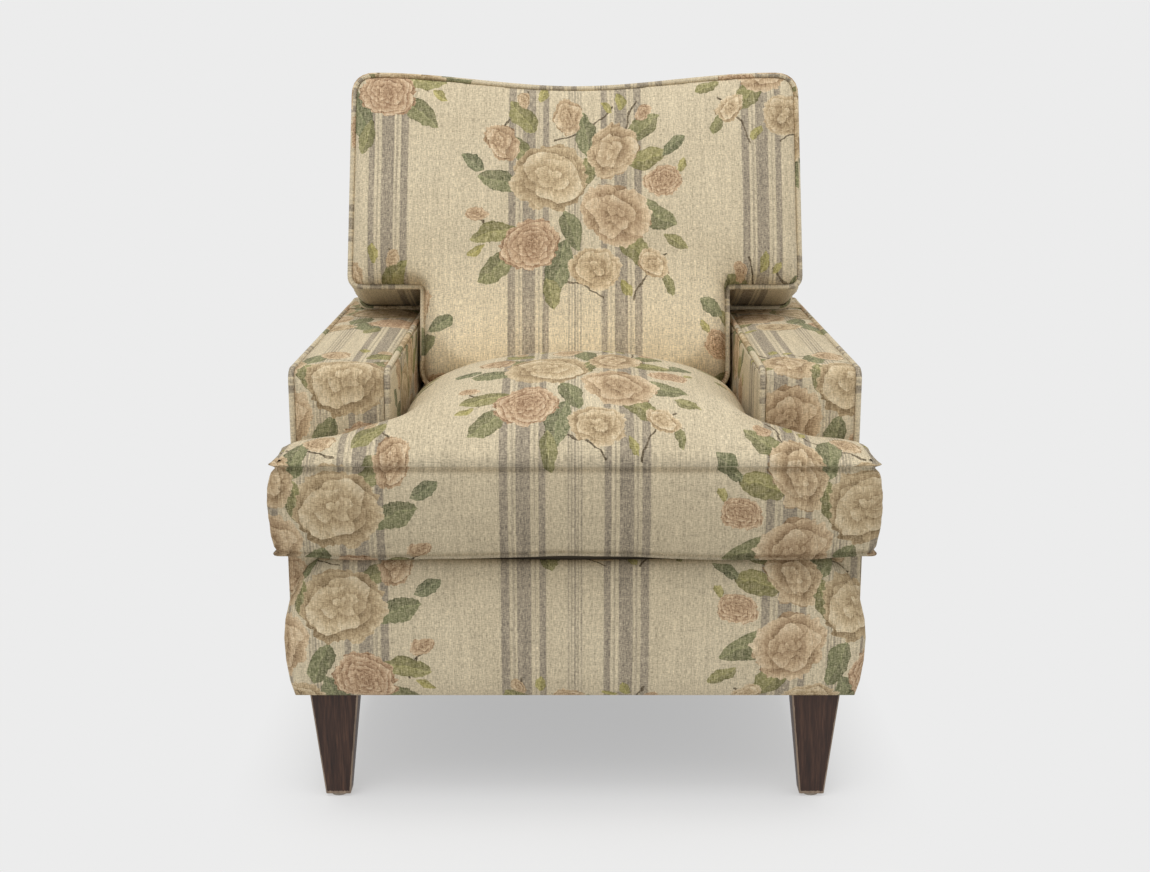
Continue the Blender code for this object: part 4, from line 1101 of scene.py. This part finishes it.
def back_outline(spacing):
    """T outline of the back cushion's seam, its ears over the arms."""
    top = CUSHION_CORNER_V
    notch = CUSHION_NOTCH_V - CUSHION_EAR_DROP
    right = [(CUSHION_STEM_X, 0.0), (CUSHION_STEM_X, notch),
             (CUSHION_EAR_X, notch), (CUSHION_EAR_X - CUSHION_EAR_TAPER, top)]
    corners = (CUSHION_LOW_CORNER, CUSHION_NOTCH_CORNER, CUSHION_EAR_CORNER, CUSHION_TOP_CORNER)
    outline = symmetric(right, 0.0, top, corners, 6, spacing)
    return [(u, v - top_dip(u) * max(0.0, (v - CUSHION_NOTCH_V) / (top - CUSHION_NOTCH_V)))
            for u, v in outline]


def foot_rise(v):
    """How far the rear seam of the cushion's foot lies above its front one."""
    return CUSHION_FOOT_RISE * max(0.0, 1 - v / CUSHION_NOTCH_V)


def past_stem(u):
    """0 at the cushion's stem, rising to 1 beside it, over the arm."""
    return smooth((abs(u) - CUSHION_STEM_X - STEM_CLEAR) / EAR_FREE)


def ear_hang(u, v):
    """How far the rear seam of an ear hangs below its front one."""
    low_down = smooth((CUSHION_NOTCH_V + EAR_HANG_REACH - v) / EAR_HANG_REACH)
    return CUSHION_EAR_HANG * past_stem(u) * low_down


def make_back_cushion(linen):
    """Loose T cushion that leans on the inside back and stands on the seat."""
    outline = back_outline(CUSHION_STEP)
    field = crown_over(outline, *CUSHION_NET)

    def crown(x, v):
        return np.maximum(field.read(x, v), 0.0) ** CROWN_POWER

    def upper(x, v):
        sunk = np.clip(1 - v / CUSHION_SLUMP_TOP, 0, 1)
        belly = np.clip(field.read(x, v) * 5.5, 0, 1) ** 0.5
        swell = CUSHION_CROWN * crown(x, v) + CUSHION_SLUMP * belly * sunk * sunk * (3 - 2 * sunk)
        return swell + rumples(x, v, CUSHION_WAVES) * np.clip(field.read(x, v) * 6, 0, 1)

    def lower(x, v):
        return -CUSHION_THICKNESS - CUSHION_REAR_CROWN * np.minimum(1.0, 2.0 * crown(x, v))

    def ring(k, point, normal):
        t = k / (CUSHION_RINGS - 1)
        free = smooth((point.y - CUSHION_NOTCH_V + 0.006) / 0.012)
        if point.y <= CUSHION_NOTCH_V + CUSHION_EAR_CORNER:
            free *= past_stem(point.x)
        swell = CUSHION_SIDE_BULGE + (CUSHION_BULGE - CUSHION_SIDE_BULGE) * free
        swell *= smooth((point.y - 0.002) / CUSHION_LOW_CORNER)
        wave = 0.9 + 0.3 * ripple(point.x, point.y, t, 0.08, 6.6)
        u, v = point + normal * swell * wave * math.sin(math.pi * t) ** CUSHION_BOXING_ROUND
        v += t * (foot_rise(point.y) - ear_hang(*point))
        return u, v, -CUSHION_THICKNESS * t

    def skin(x, v):
        return np.stack([x * BACK_STRETCH, BACK_V + v * BACK_STRETCH], axis=1)

    maps = (skin, skin, (outline[0][0] * BACK_STRETCH, BACK_SIDE_V))
    obj = stuffed("back_cushion_cover", outline, CUSHION_STEP, CUSHION_RINGS, ring, upper, lower,
                  back_place, maps, linen)
    keep(obj, "back_cushion")


def welt_tree():
    """Geometry Nodes: a path swept into a covered cord with its cloth map.

    The cloth runs on from Cloth Start along the cord and once round it. Where
    the last face of a turn meets the first, its far corners read one turn on.
    """
    tree = bpy.data.node_groups.new("Covered cord", "GeometryNodeTree")
    for label, kind, value in (("Path", "Geometry", None), ("Radius", "Float", WELT_RADIUS),
                               ("Sides", "Int", 10), ("Cloth Start", "Float", 0.0),
                               ("Unevenness", "Float", 0.05), ("Covering", "Material", None)):
        socket = tree.interface.new_socket(label, in_out="INPUT", socket_type="NodeSocket" + kind)
        if value is not None:
            socket.default_value = value
    tree.interface.new_socket("Cord", in_out="OUTPUT", socket_type="NodeSocketGeometry")
    b = Tree(tree)
    given = tree.nodes.new("NodeGroupInput").outputs

    def step(kind, geometry=None, **values):
        node = tree.nodes.new("GeometryNode" + kind)
        if geometry is not None:
            b.links.new(geometry, node.inputs[0])
        return b.fill(node, **values)

    def store(geometry, name, kind, domain, value):
        node = step("StoreNamedAttribute", geometry)
        node.data_type, node.domain = kind, domain
        return b.fill(node, Name=name, Value=value).outputs[0]

    def read(name):
        node = step("InputNamedAttribute", Name=name)
        node.data_type = "FLOAT"
        return node.outputs[0]

    def unrolled(name, whole):
        """Attribute with the turn added at corners that wrapped round to its start."""
        here = read(name)
        face = tree.nodes.new("GeometryNodeFieldOnDomain")
        face.domain, face.data_type = "FACE", "FLOAT"
        b.links.new(here, face.inputs[0])
        wrapped = b.above(b.sub(face.outputs[0], here), b.mul(whole, 0.25))
        return b.mul_add(wrapped, whole, here)

    curve = step("MeshToCurve", given["Path"]).outputs[0]
    curve = store(curve, "along", "FLOAT", "POINT", step("SplineParameter").outputs["Length"])
    whole = step("SplineLength").outputs["Length"]
    curve = store(curve, "whole", "FLOAT", "POINT", whole)
    lumps = b.noise(b.vector("SCALE", step("InputPosition").outputs[0], scale=60.0), 1.0, 1.0, 0.5)
    girth = b.add(b.mul(b.sub(lumps, 0.5), given["Unevenness"]), 1.0)
    profile = step("CurvePrimitiveCircle", Resolution=given["Sides"], Radius=given["Radius"])
    profile = store(profile.outputs[0], "around", "FLOAT", "POINT",
                    step("SplineParameter").outputs["Factor"])
    sweep = tree.nodes.new("GeometryNodeCurveToMesh")
    if "Scale" in sweep.inputs:
        b.links.new(girth, sweep.inputs["Scale"])
    else:
        curve = step("SetCurveRadius", curve, Radius=girth).outputs[0]
    b.links.new(curve, sweep.inputs["Curve"])
    b.links.new(profile, sweep.inputs["Profile Curve"])
    sweep.inputs["Fill Caps"].default_value = True
    run = b.add(unrolled("along", read("whole")), given["Cloth Start"])
    turn = b.mul(unrolled("around", 1.0), b.mul(given["Radius"], 2 * math.pi))
    mesh = store(sweep.outputs[0], "Cloth", "FLOAT2", "CORNER", b.combine(run, turn))
    for name in ("along", "whole", "around"):
        mesh = step("RemoveAttribute", mesh, Name=name).outputs[0]
    mesh = step("SetShadeSmooth", mesh).outputs[0]
    mesh = step("RealizeInstances", mesh).outputs[0]
    mesh = step("SetMaterial", mesh, Material=given["Covering"]).outputs[0]
    b.links.new(mesh, tree.nodes.new("NodeGroupOutput").inputs[0])
    return tree


def cord(node, path, closed, shift, welt, linen):
    """Covered cord of a CAD node, made by the welt tree and kept as a plain mesh."""
    count = len(path)
    mesh = bpy.data.meshes.new(node + "_cord")
    edges = [(i, i + 1) for i in range(count - 1)] + ([(count - 1, 0)] if closed else [])
    mesh.from_pydata([tuple(p) for p in path], edges, [])
    obj = linked(node + "_cord", mesh)
    modifier = obj.modifiers.new("Covered cord", "NODES")
    modifier.node_group = welt
    values = {"Cloth Start": shift, "Covering": linen}
    for socket in welt.interface.items_tree:
        if socket.item_type == "SOCKET" and socket.name in values:
            modifier[socket.identifier] = values[socket.name]
    graph = bpy.context.evaluated_depsgraph_get()
    made = bpy.data.meshes.new_from_object(obj.evaluated_get(graph), depsgraph=graph)
    obj.modifiers.clear()
    obj.data = made
    keep(obj, node)


def make_back_welts(welt, linen):
    """Covered cords round the front and the rear seam of the back cushion."""
    outline = back_outline(CUSHION_STEP)
    normals = outward(outline)
    for name, w, reach, shift in (
            ("front", WELT_RADIUS * 0.45, WELT_RADIUS * 0.62, 0.11),
            ("rear", WELT_CLEAR - CUSHION_THICKNESS, WELT_RADIUS + WELT_CLEAR / 3, 0.31)):
        path = []
        for (u, v), normal in zip(outline, normals):
            out = Vector((u, v)) + normal * reach
            if name == "rear":
                out.y += foot_rise(v) - ear_hang(u, v)
            path.append(back_place(out.x, out.y, w))
        cord(f"back_cushion_{name}_welt", path, True, shift, welt, linen)


def make_arm_welts(welt, linen):
    """Covered cords up the front of each arm and back along its top."""
    for side, _ in SIDES:
        for part, shift in (("inner", 0.20), ("outer", 0.05)):
            node = f"{side}_arm_{part}_welt"
            low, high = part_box(node)
            x = (low.x + high.x) / 2
            y, z = low.y + WELT_RADIUS, high.z - WELT_RADIUS
            bend = rounded([(y, low.z), (y, z), (high.y, z)], [0, ARM_WELT_BEND, 0], 8)
            path = [(x, py, pz) for py, pz in subdivided(bend, ARM_WELT_STEP, closed=False)]
            cord(node, path, False, shift, welt, linen)


def panel(node, outline, place, padding, uv, linen, spacing=PANEL_STEP, flat_from=None):
    """Tacked-down padded panel with soft edges and a low crown."""
    thickness, crown_height, edge, rumple = padding
    step, rounds = PANEL_NET
    field = crown_over(outline, max(step, spacing), rounds)
    turns = 6

    def ring(k, point, normal):
        if k < turns:
            a = math.pi / 2 * k / (turns - 1)
            u, v = point - normal * edge * (1 - math.sin(a))
            return u, v, thickness - edge * (1 - math.cos(a))
        return point.x, point.y, 0.0

    def upper(x, y):
        lift = np.maximum(field.read(x, y), 0) ** CROWN_POWER
        puffed = crown_height * lift
        if flat_from is not None:
            puffed *= np.clip((flat_from - y) / PUFF_REACH, 0, 1)
        return thickness + puffed + rumple * rumples(x, y, PANEL_WAVES) * np.minimum(1, 4 * lift)

    def lower(x, y):
        return np.zeros(len(x))

    def skin(x, y):
        return np.stack([x + uv[0], y + uv[1]], axis=1)

    obj = stuffed(node + "_cover", outline, spacing, turns + 1, ring, upper, lower, place,
                  (skin, skin, None), linen)
    return keep(obj, node)


def make_front_border(linen):
    """Padded border across the front rail, puffed, with a soft upper edge."""
    low, high = border_low.z - BORDER_HANG, border_high.z - BORDER_DROP
    right = [(arm_high.x + out, low + (high - low) * rise) for rise, out in BORDER_SIDE]
    corners = [BORDER_CORNER] + [0] * (len(right) - 1)
    outline = []
    for u, v in symmetric(right, low, high, corners, 6, PANEL_STEP * 0.7):
        sag = BORDER_SAG * smooth(1 - abs(u) / BORDER_SAG_HALF)
        outline.append((u, v - sag * smooth((v - high + BORDER_SAG_DEPTH) / BORDER_SAG_DEPTH)))
    thickness, edge, rumple = BORDER_PAD
    crown_height = BORDER_REAR - border_low.y - BORDER_FLAT

    def place(u, v, w):
        return (u, BORDER_REAR - w, v)

    panel("front_border", outline, place, (thickness, crown_height, edge, rumple),
          (0.0, BORDER_V - high), linen, spacing=BORDER_STEP, flat_from=high - BORDER_CALM)


def add_turned_edge(cover, sign, fold_x):
    """The outside arm's cloth turned round the front corner, under the border."""
    near, back = BORDER_REAR + 0.0004, border_high.y - 0.0001
    inner, outer = fold_x - TURNED_EDGE, fold_x - 0.0002
    section = ((inner, back), (inner, near), (outer - 0.001, near), (outer, near + 0.001),
               (outer, back))
    edge = bmesh.new()
    edge.from_mesh(cover.data)
    layer = edge.loops.layers.uv["Cloth"]
    rings = [[edge.verts.new((sign * x, y, z)) for x, y in section]
             for z in np.linspace(border_low.z + 0.003, deck_high.z - 0.002, 12)]
    count = len(section)
    made = [edge.faces.new([low[k], low[(k + 1) % count], high[(k + 1) % count], high[k]])
            for low, high in zip(rings, rings[1:]) for k in range(count)]
    made += [edge.faces.new(rings[0]), edge.faces.new(rings[-1])]
    for face in made:
        face.smooth = False
        for loop in face.loops:
            x, y, z = loop.vert.co
            loop[layer].uv = (sign * FRONT + ARM_SIDE_U - sign * (fold_x - abs(x)), z)
    bmesh.ops.recalc_face_normals(edge, faces=made)
    edge.to_mesh(cover.data)
    edge.free()


def faced(outline, forward):
    """Outline as seen from the side to which a panel of either arm faces."""
    return outline if forward else [(-u, v) for u, v in reversed(outline)]


def make_outside_arm(side, sign, linen):
    """Cover of an arm's outer face, thinned towards its front."""
    low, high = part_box(side + "_outside_arm")
    rear_low = high.y - (high.z - low.z) * math.tan(BACK_RAKE)
    step_y = ARM_FRONT + 2 * WELT_RADIUS + 3 * GAP
    hinge = step_y - WELT_RADIUS
    outline = [(low.y, low.z), (rear_low, low.z), (high.y, high.z), (step_y, high.z),
               (step_y, deck_high.z), (low.y, deck_high.z)]
    outline = subdivided(rounded(outline, [0, 0, 0, FRONT_ROUND, 0, 0.004], 5), PANEL_STEP)
    inner = min(abs(low.x), abs(high.x))

    def place(u, v, w):
        y = sign * u
        thin = 1 - ARM_TAPER * clamp01((hinge - y) / (hinge - FRONT))
        return (sign * (inner + w * thin), y, v)

    cover = panel(side + "_outside_arm", faced(outline, sign > 0), place, OUTSIDE_ARM_PAD,
                  (ARM_SIDE_U, 0.0), linen)
    add_turned_edge(cover, sign, inner)


def make_inside_arm(side, sign, linen):
    """Cover of an arm's inner face, between the seat and the arm band."""
    low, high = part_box(side + "_inside_arm")
    rear_low = high.y - (high.z - low.z) * math.tan(BACK_LEAN)
    outline = [(low.y, low.z), (rear_low, low.z), (high.y, high.z), (low.y, high.z)]
    outline = subdivided(rounded(outline, [0, 0, 0, FRONT_ROUND], 5), PANEL_STEP)
    far = max(abs(low.x), abs(high.x))

    def place(u, v, w):
        return (sign * (far - w), -sign * u, v)

    panel(side + "_inside_arm", faced(outline, sign < 0), place, INSIDE_ARM_PAD,
          (ARM_SIDE_U, 0.0), linen)


def make_arm_bands(linen):
    """One padded band over each arm's top and down its front."""
    columns = 17
    for side, _ in SIDES:
        low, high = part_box(side + "_arm_band")
        front, rear, top = low.y, high.y, high.z
        outer = rounded([(front, low.z), (front, top), (rear, top)], [0, BAND_ROUND, 0], 8)
        outer = subdivided(outer, BAND_STEP, closed=False)
        under_z, behind_y = top - BAND_PAD_TOP, front + BAND_PAD_FRONT
        inner = [(behind_y, z) if z <= under_z else (max(y, behind_y), under_z) for y, z in outer]
        walk = [0.0]
        for a, b in zip(outer, outer[1:]):
            walk.append(walk[-1] + (Vector(b) - Vector(a)).length)
        xs = np.linspace(low.x, high.x, columns)
        verts, faces, uvs = [], [], []
        for (y, z), normal, s in zip(outer, open_normals(outer), walk):
            for x, t in zip(xs, np.linspace(-1, 1, columns)):
                rise = BAND_SWELL * (1 - t ** 4) - BAND_EDGE_DROP + rumple_at(x, s, BAND_WAVES)
                verts.append((x, y + normal.x * rise, z + normal.y * rise))
        back = len(verts)
        verts += [(x, y, z) for y, z in inner for x in (xs[0], xs[-1])]
        for i in range(len(outer) - 1):
            s0, s1 = walk[i], walk[i + 1]
            a, d, c = i * columns, (i + 1) * columns, back + 2 * i
            for k in range(columns - 1):
                faces.append((a + k, a + k + 1, d + k + 1, d + k))
                uvs += [(xs[k], ARM_V + s0), (xs[k + 1], ARM_V + s0),
                        (xs[k + 1], ARM_V + s1), (xs[k], ARM_V + s1)]
            faces.append((c + 1, c, c + 2, c + 3))
            uvs += [(xs[-1], s0), (xs[0], s0), (xs[0], s1), (xs[-1], s1)]
            faces.append((a, d, c + 2, c))
            uvs += [(xs[0], s0), (xs[0], s1)] * 2
            faces.append((d + columns - 1, a + columns - 1, c + 1, c + 3))
            uvs += [(xs[-1], s1), (xs[-1], s0)] * 2
        for i, order in ((0, -1), (len(outer) - 1, 1)):
            ring = [i * columns + k for k in range(columns)] + [back + 2 * i + 1, back + 2 * i]
            faces.append(tuple(ring[::order]))
            uvs += [(xs[0], walk[i])] * len(ring)
        keep(build_mesh(side + "_arm_band_cover", verts, faces, uvs, linen), side + "_arm_band")


def open_normals(points):
    """Normals to the left of an open path."""
    normals = []
    for before, after in zip(points[:1] + points, points[1:] + points[-1:]):
        along = (Vector(after) - Vector(before)).normalized()
        normals.append(Vector((-along.y, along.x)))
    return normals


def make_back_covers(linen):
    """Inside back, outside back, its facings and the strips beside it."""
    half = inside_high.x
    notch = ARM_TOP_Z + 2 * GAP
    right = [(ARM_INNER_X - GAP, inside_low.z), (ARM_INNER_X - GAP, notch), (half, notch),
             (half, inside_high.z)]
    outline = symmetric(right, inside_low.z, inside_high.z, (0, 0, 0, BACK_CORNER), 5,
                        PANEL_STEP * 1.5)

    def lean_place(x, z, w):
        return (x, inside_back_y(z, INSIDE_BACK_DEPTH - w), z)

    panel("inside_back", outline, lean_place, INSIDE_BACK_PAD, (0.0, 0.0), linen, spacing=0.02)

    low, high = outside_low, outside_high
    wide = arm_high.x
    right = [(wide, low.z), (wide, ARM_TOP_Z), (half, ARM_TOP_Z), (half, high.z)]
    outline = symmetric(right, low.z, high.z, (0, 0.0084, 0, BACK_CORNER), 5, PANEL_STEP * 1.2)

    def rake_place(x, z, w):
        return (-x, outside_back_y(z, OUTSIDE_BACK_DEPTH - w), z)

    panel("outside_back", outline, rake_place, OUTSIDE_BACK_PAD, (0.0, OUTSIDE_BACK_V), linen,
          spacing=0.014)
    for node in ("back_top_facing", "left_back_side", "right_back_side", "left_arm_rear_strip",
                 "right_arm_rear_strip"):
        dress_cad(node, linen)
    # Platform cloth of the deck, kept dark: partly its own colour, partly painted shade for the
    # gap under the seat cushion's nose
    deck_cloth_gap_shade = plain_material("Platform cloth and gap shade", srgb(74, 66, 54), 0.95, 0.0, 800)
    dress_cad("seat_deck", deck_cloth_gap_shade)


def dress_cad(node, material):
    """Give a CAD node that keeps its own shape the cloth map and the material."""
    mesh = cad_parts[node].data
    verts = [tuple(v.co) for v in mesh.vertices]
    faces, uvs = [], []
    for polygon in mesh.polygons:
        faces.append(tuple(polygon.vertices))
        n = polygon.normal
        for x, y, z in (verts[i] for i in polygon.vertices):
            if abs(n.x) > 0.7:
                uvs.append((y, z))
            elif abs(n.z) > 0.7:
                uvs.append((x, y))
            else:
                uvs.append((x, z))
    keep(build_mesh(node + "_cover", verts, faces, uvs, material, soft=False), node)


def make_legs(walnut):
    """Square tapered legs with rounded arrises, mapped round and along for the painted highlight.
    """
    steps, levels = 3, 10
    ring = 4 * (steps + 1)
    for node in ("front_left_leg", "front_right_leg", "rear_left_leg", "rear_right_leg"):
        low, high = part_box(node)
        middle = (low + high) / 2
        verts, faces, uvs, marks = [], [], [], []
        for i in range(levels + 1):
            t = i / levels
            z = low.z + (high.z - low.z) * t
            half = [(high[k] - low[k]) / 2 * (foot + (1 - foot) * t)
                    for k, foot in enumerate(LEG_FOOT)]
            for quarter in range(4):
                for k in range(steps + 1):
                    a = math.pi / 2 * (quarter + k / steps)
                    sx = 1 if quarter in (0, 3) else -1
                    sy = 1 if quarter < 2 else -1
                    x = sx * (half[0] - LEG_ARRIS) + LEG_ARRIS * math.cos(a)
                    y = sy * (half[1] - LEG_ARRIS) + LEG_ARRIS * math.sin(a)
                    verts.append((middle.x + x, middle.y + y, z))
                    marks.append(quarter + (0.06 * k / steps - 0.03))
        for i in range(levels):
            for k in range(ring):
                n = (k + 1) % ring
                faces.append((i * ring + k, i * ring + n, (i + 1) * ring + n, (i + 1) * ring + k))
                u0, u1 = marks[k], marks[n] + (4 if n == 0 else 0)
                v0, v1 = i / levels, (i + 1) / levels
                uvs += [(u0, v0), (u1, v0), (u1, v1), (u0, v1)]
        faces.append(tuple(reversed(range(ring))))
        faces.append(tuple(range(levels * ring, (levels + 1) * ring)))
        uvs += [(0.5, 0.01)] * ring + [(0.5, 0.99)] * ring
        obj = build_mesh(node + "_turned", verts, faces, uvs, walnut)
        obj.data.set_sharp_from_angle(angle=math.radians(50))
        keep(obj, node)


def finish_cad_nodes():
    """Wood, steel, cord and plastic for the pieces that keep their CAD shape."""
    hardwood = wood_material("Frame hardwood", srgb(150, 116, 78), srgb(196, 160, 116), 0.62, 45)
    steel = plain_material("Zinc steel", (0.45, 0.45, 0.46), 0.40, 1.0, 300)
    wire = plain_material("Spring wire", (0.30, 0.30, 0.31), 0.35, 1.0, 250)
    jute = plain_material("Jute strap", (0.36, 0.28, 0.17), 0.95, 0.0, 900)
    black = plain_material("Dust cloth", (0.03, 0.03, 0.03), 0.95, 0.0, 700)
    glide = plain_material("Glide plastic", srgb(150, 140, 128), 0.45, 0.0, 120)
    zip_tape = plain_material("Zip tape", srgb(176, 160, 128), 0.70, 0.0, 800)
    kinds = {"glide": glide, "bolt": steel, "spring": wire, "strap": jute,
             "dust": black, "zip": zip_tape, "rail": hardwood, "block": hardwood,
             "stump": hardwood, "board": hardwood, "post": hardwood}
    for name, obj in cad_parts.items():
        for word, mat in kinds.items():
            if word in name.split("_"):
                obj.data.materials.clear()
                obj.data.materials.append(mat)


def seen_directly(b):
    """Light Path mask: what the camera, glass and mirrors see."""
    path = b.nodes.new("ShaderNodeLightPath").outputs
    either = b.math("MAXIMUM", path["Is Camera Ray"], path["Is Glossy Ray"])
    return b.math("MAXIMUM", either, path["Is Transmission Ray"])


def make_floor():
    """Pale floor whose soft shadow fades into the backdrop round the chair."""
    reach = FLOOR_REACH
    mesh = bpy.data.meshes.new("floor")
    mesh.from_pydata([(-reach, -reach, 0), (reach, -reach, 0), (reach, reach, 0),
                      (-reach, reach, 0)], [], [(0, 1, 2, 3)])
    floor = linked("floor", mesh)
    mat, b, shader = new_material("Pale floor")
    mesh.materials.append(mat)
    b.fill(shader, Roughness=1.0, Specular_IOR_Level=0.0,
           Base_Color=(FLOOR_TONE, FLOOR_TONE, FLOOR_TONE, 1.0))
    place = b.vector("ABSOLUTE", b.place())
    over = b.vector("MAXIMUM", b.vector("SUBTRACT", place, SHADOW_HALF), (0.0, 0.0, 0.0))
    over = b.vector("MULTIPLY", over, SHADOW_FADE)
    far = b.mul_add(b.vector("LENGTH", over), 0.5, 0.5, clamp=True)
    glow = b.fill(b.nodes.new("ShaderNodeEmission"), Color=(*BACKDROP, 1.0))
    mix = b.nodes.new("ShaderNodeMixShader")
    b.put(mix.inputs[0], far)
    b.links.new(shader.outputs[0], mix.inputs[1])
    b.links.new(glow.outputs[0], mix.inputs[2])
    b.links.new(mix.outputs[0], b.nodes["Material Output"].inputs["Surface"])


def make_world():
    world = bpy.data.worlds.new("Studio")
    bpy.context.scene.world = world
    world.use_nodes = True
    b = Tree(world.node_tree)
    light = (WORLD_LIGHT,) * 3 + (1.0,)
    b.fill(b.nodes["Background"], Color=b.mix(seen_directly(b), light, (*BACKDROP, 1.0)))


def area_light(name, place, aim, size, power):
    data = bpy.data.lights.new(name, "AREA")
    data.shape = "RECTANGLE"
    data.size, data.size_y = size
    data.energy = power
    light = linked(name, data)
    light.location = place
    light.rotation_euler = (Vector(aim) - Vector(place)).to_track_quat("-Z", "Y").to_euler()


def make_camera():
    data = bpy.data.cameras.new("camera")
    data.lens = CAMERA_LENS
    data.sensor_width = SENSOR
    camera = linked("camera", data)
    camera.location = (0.0, FRONT - CAMERA_BEFORE_LEGS, CAMERA_Z)
    camera.rotation_euler = (math.pi / 2 - CAMERA_TILT, 0, 0)
    bpy.context.scene.camera = camera


bpy.context.scene.view_settings.view_transform = "Standard"
make_camera()
make_world()
for light in LIGHTS:
    area_light(*light)
make_floor()
linen = linen_material(stripe_group(), weave_group(), spray_group(), light_and_shade_group())
make_seat_cushion(linen)
make_back_cushion(linen)
welt = welt_tree()
make_back_welts(welt, linen)
make_front_border(linen)
for side, sign in SIDES:
    make_outside_arm(side, sign, linen)
    make_inside_arm(side, sign, linen)
make_arm_bands(linen)
make_arm_welts(welt, linen)
make_back_covers(linen)
make_legs(walnut_material())
finish_cad_nodes()
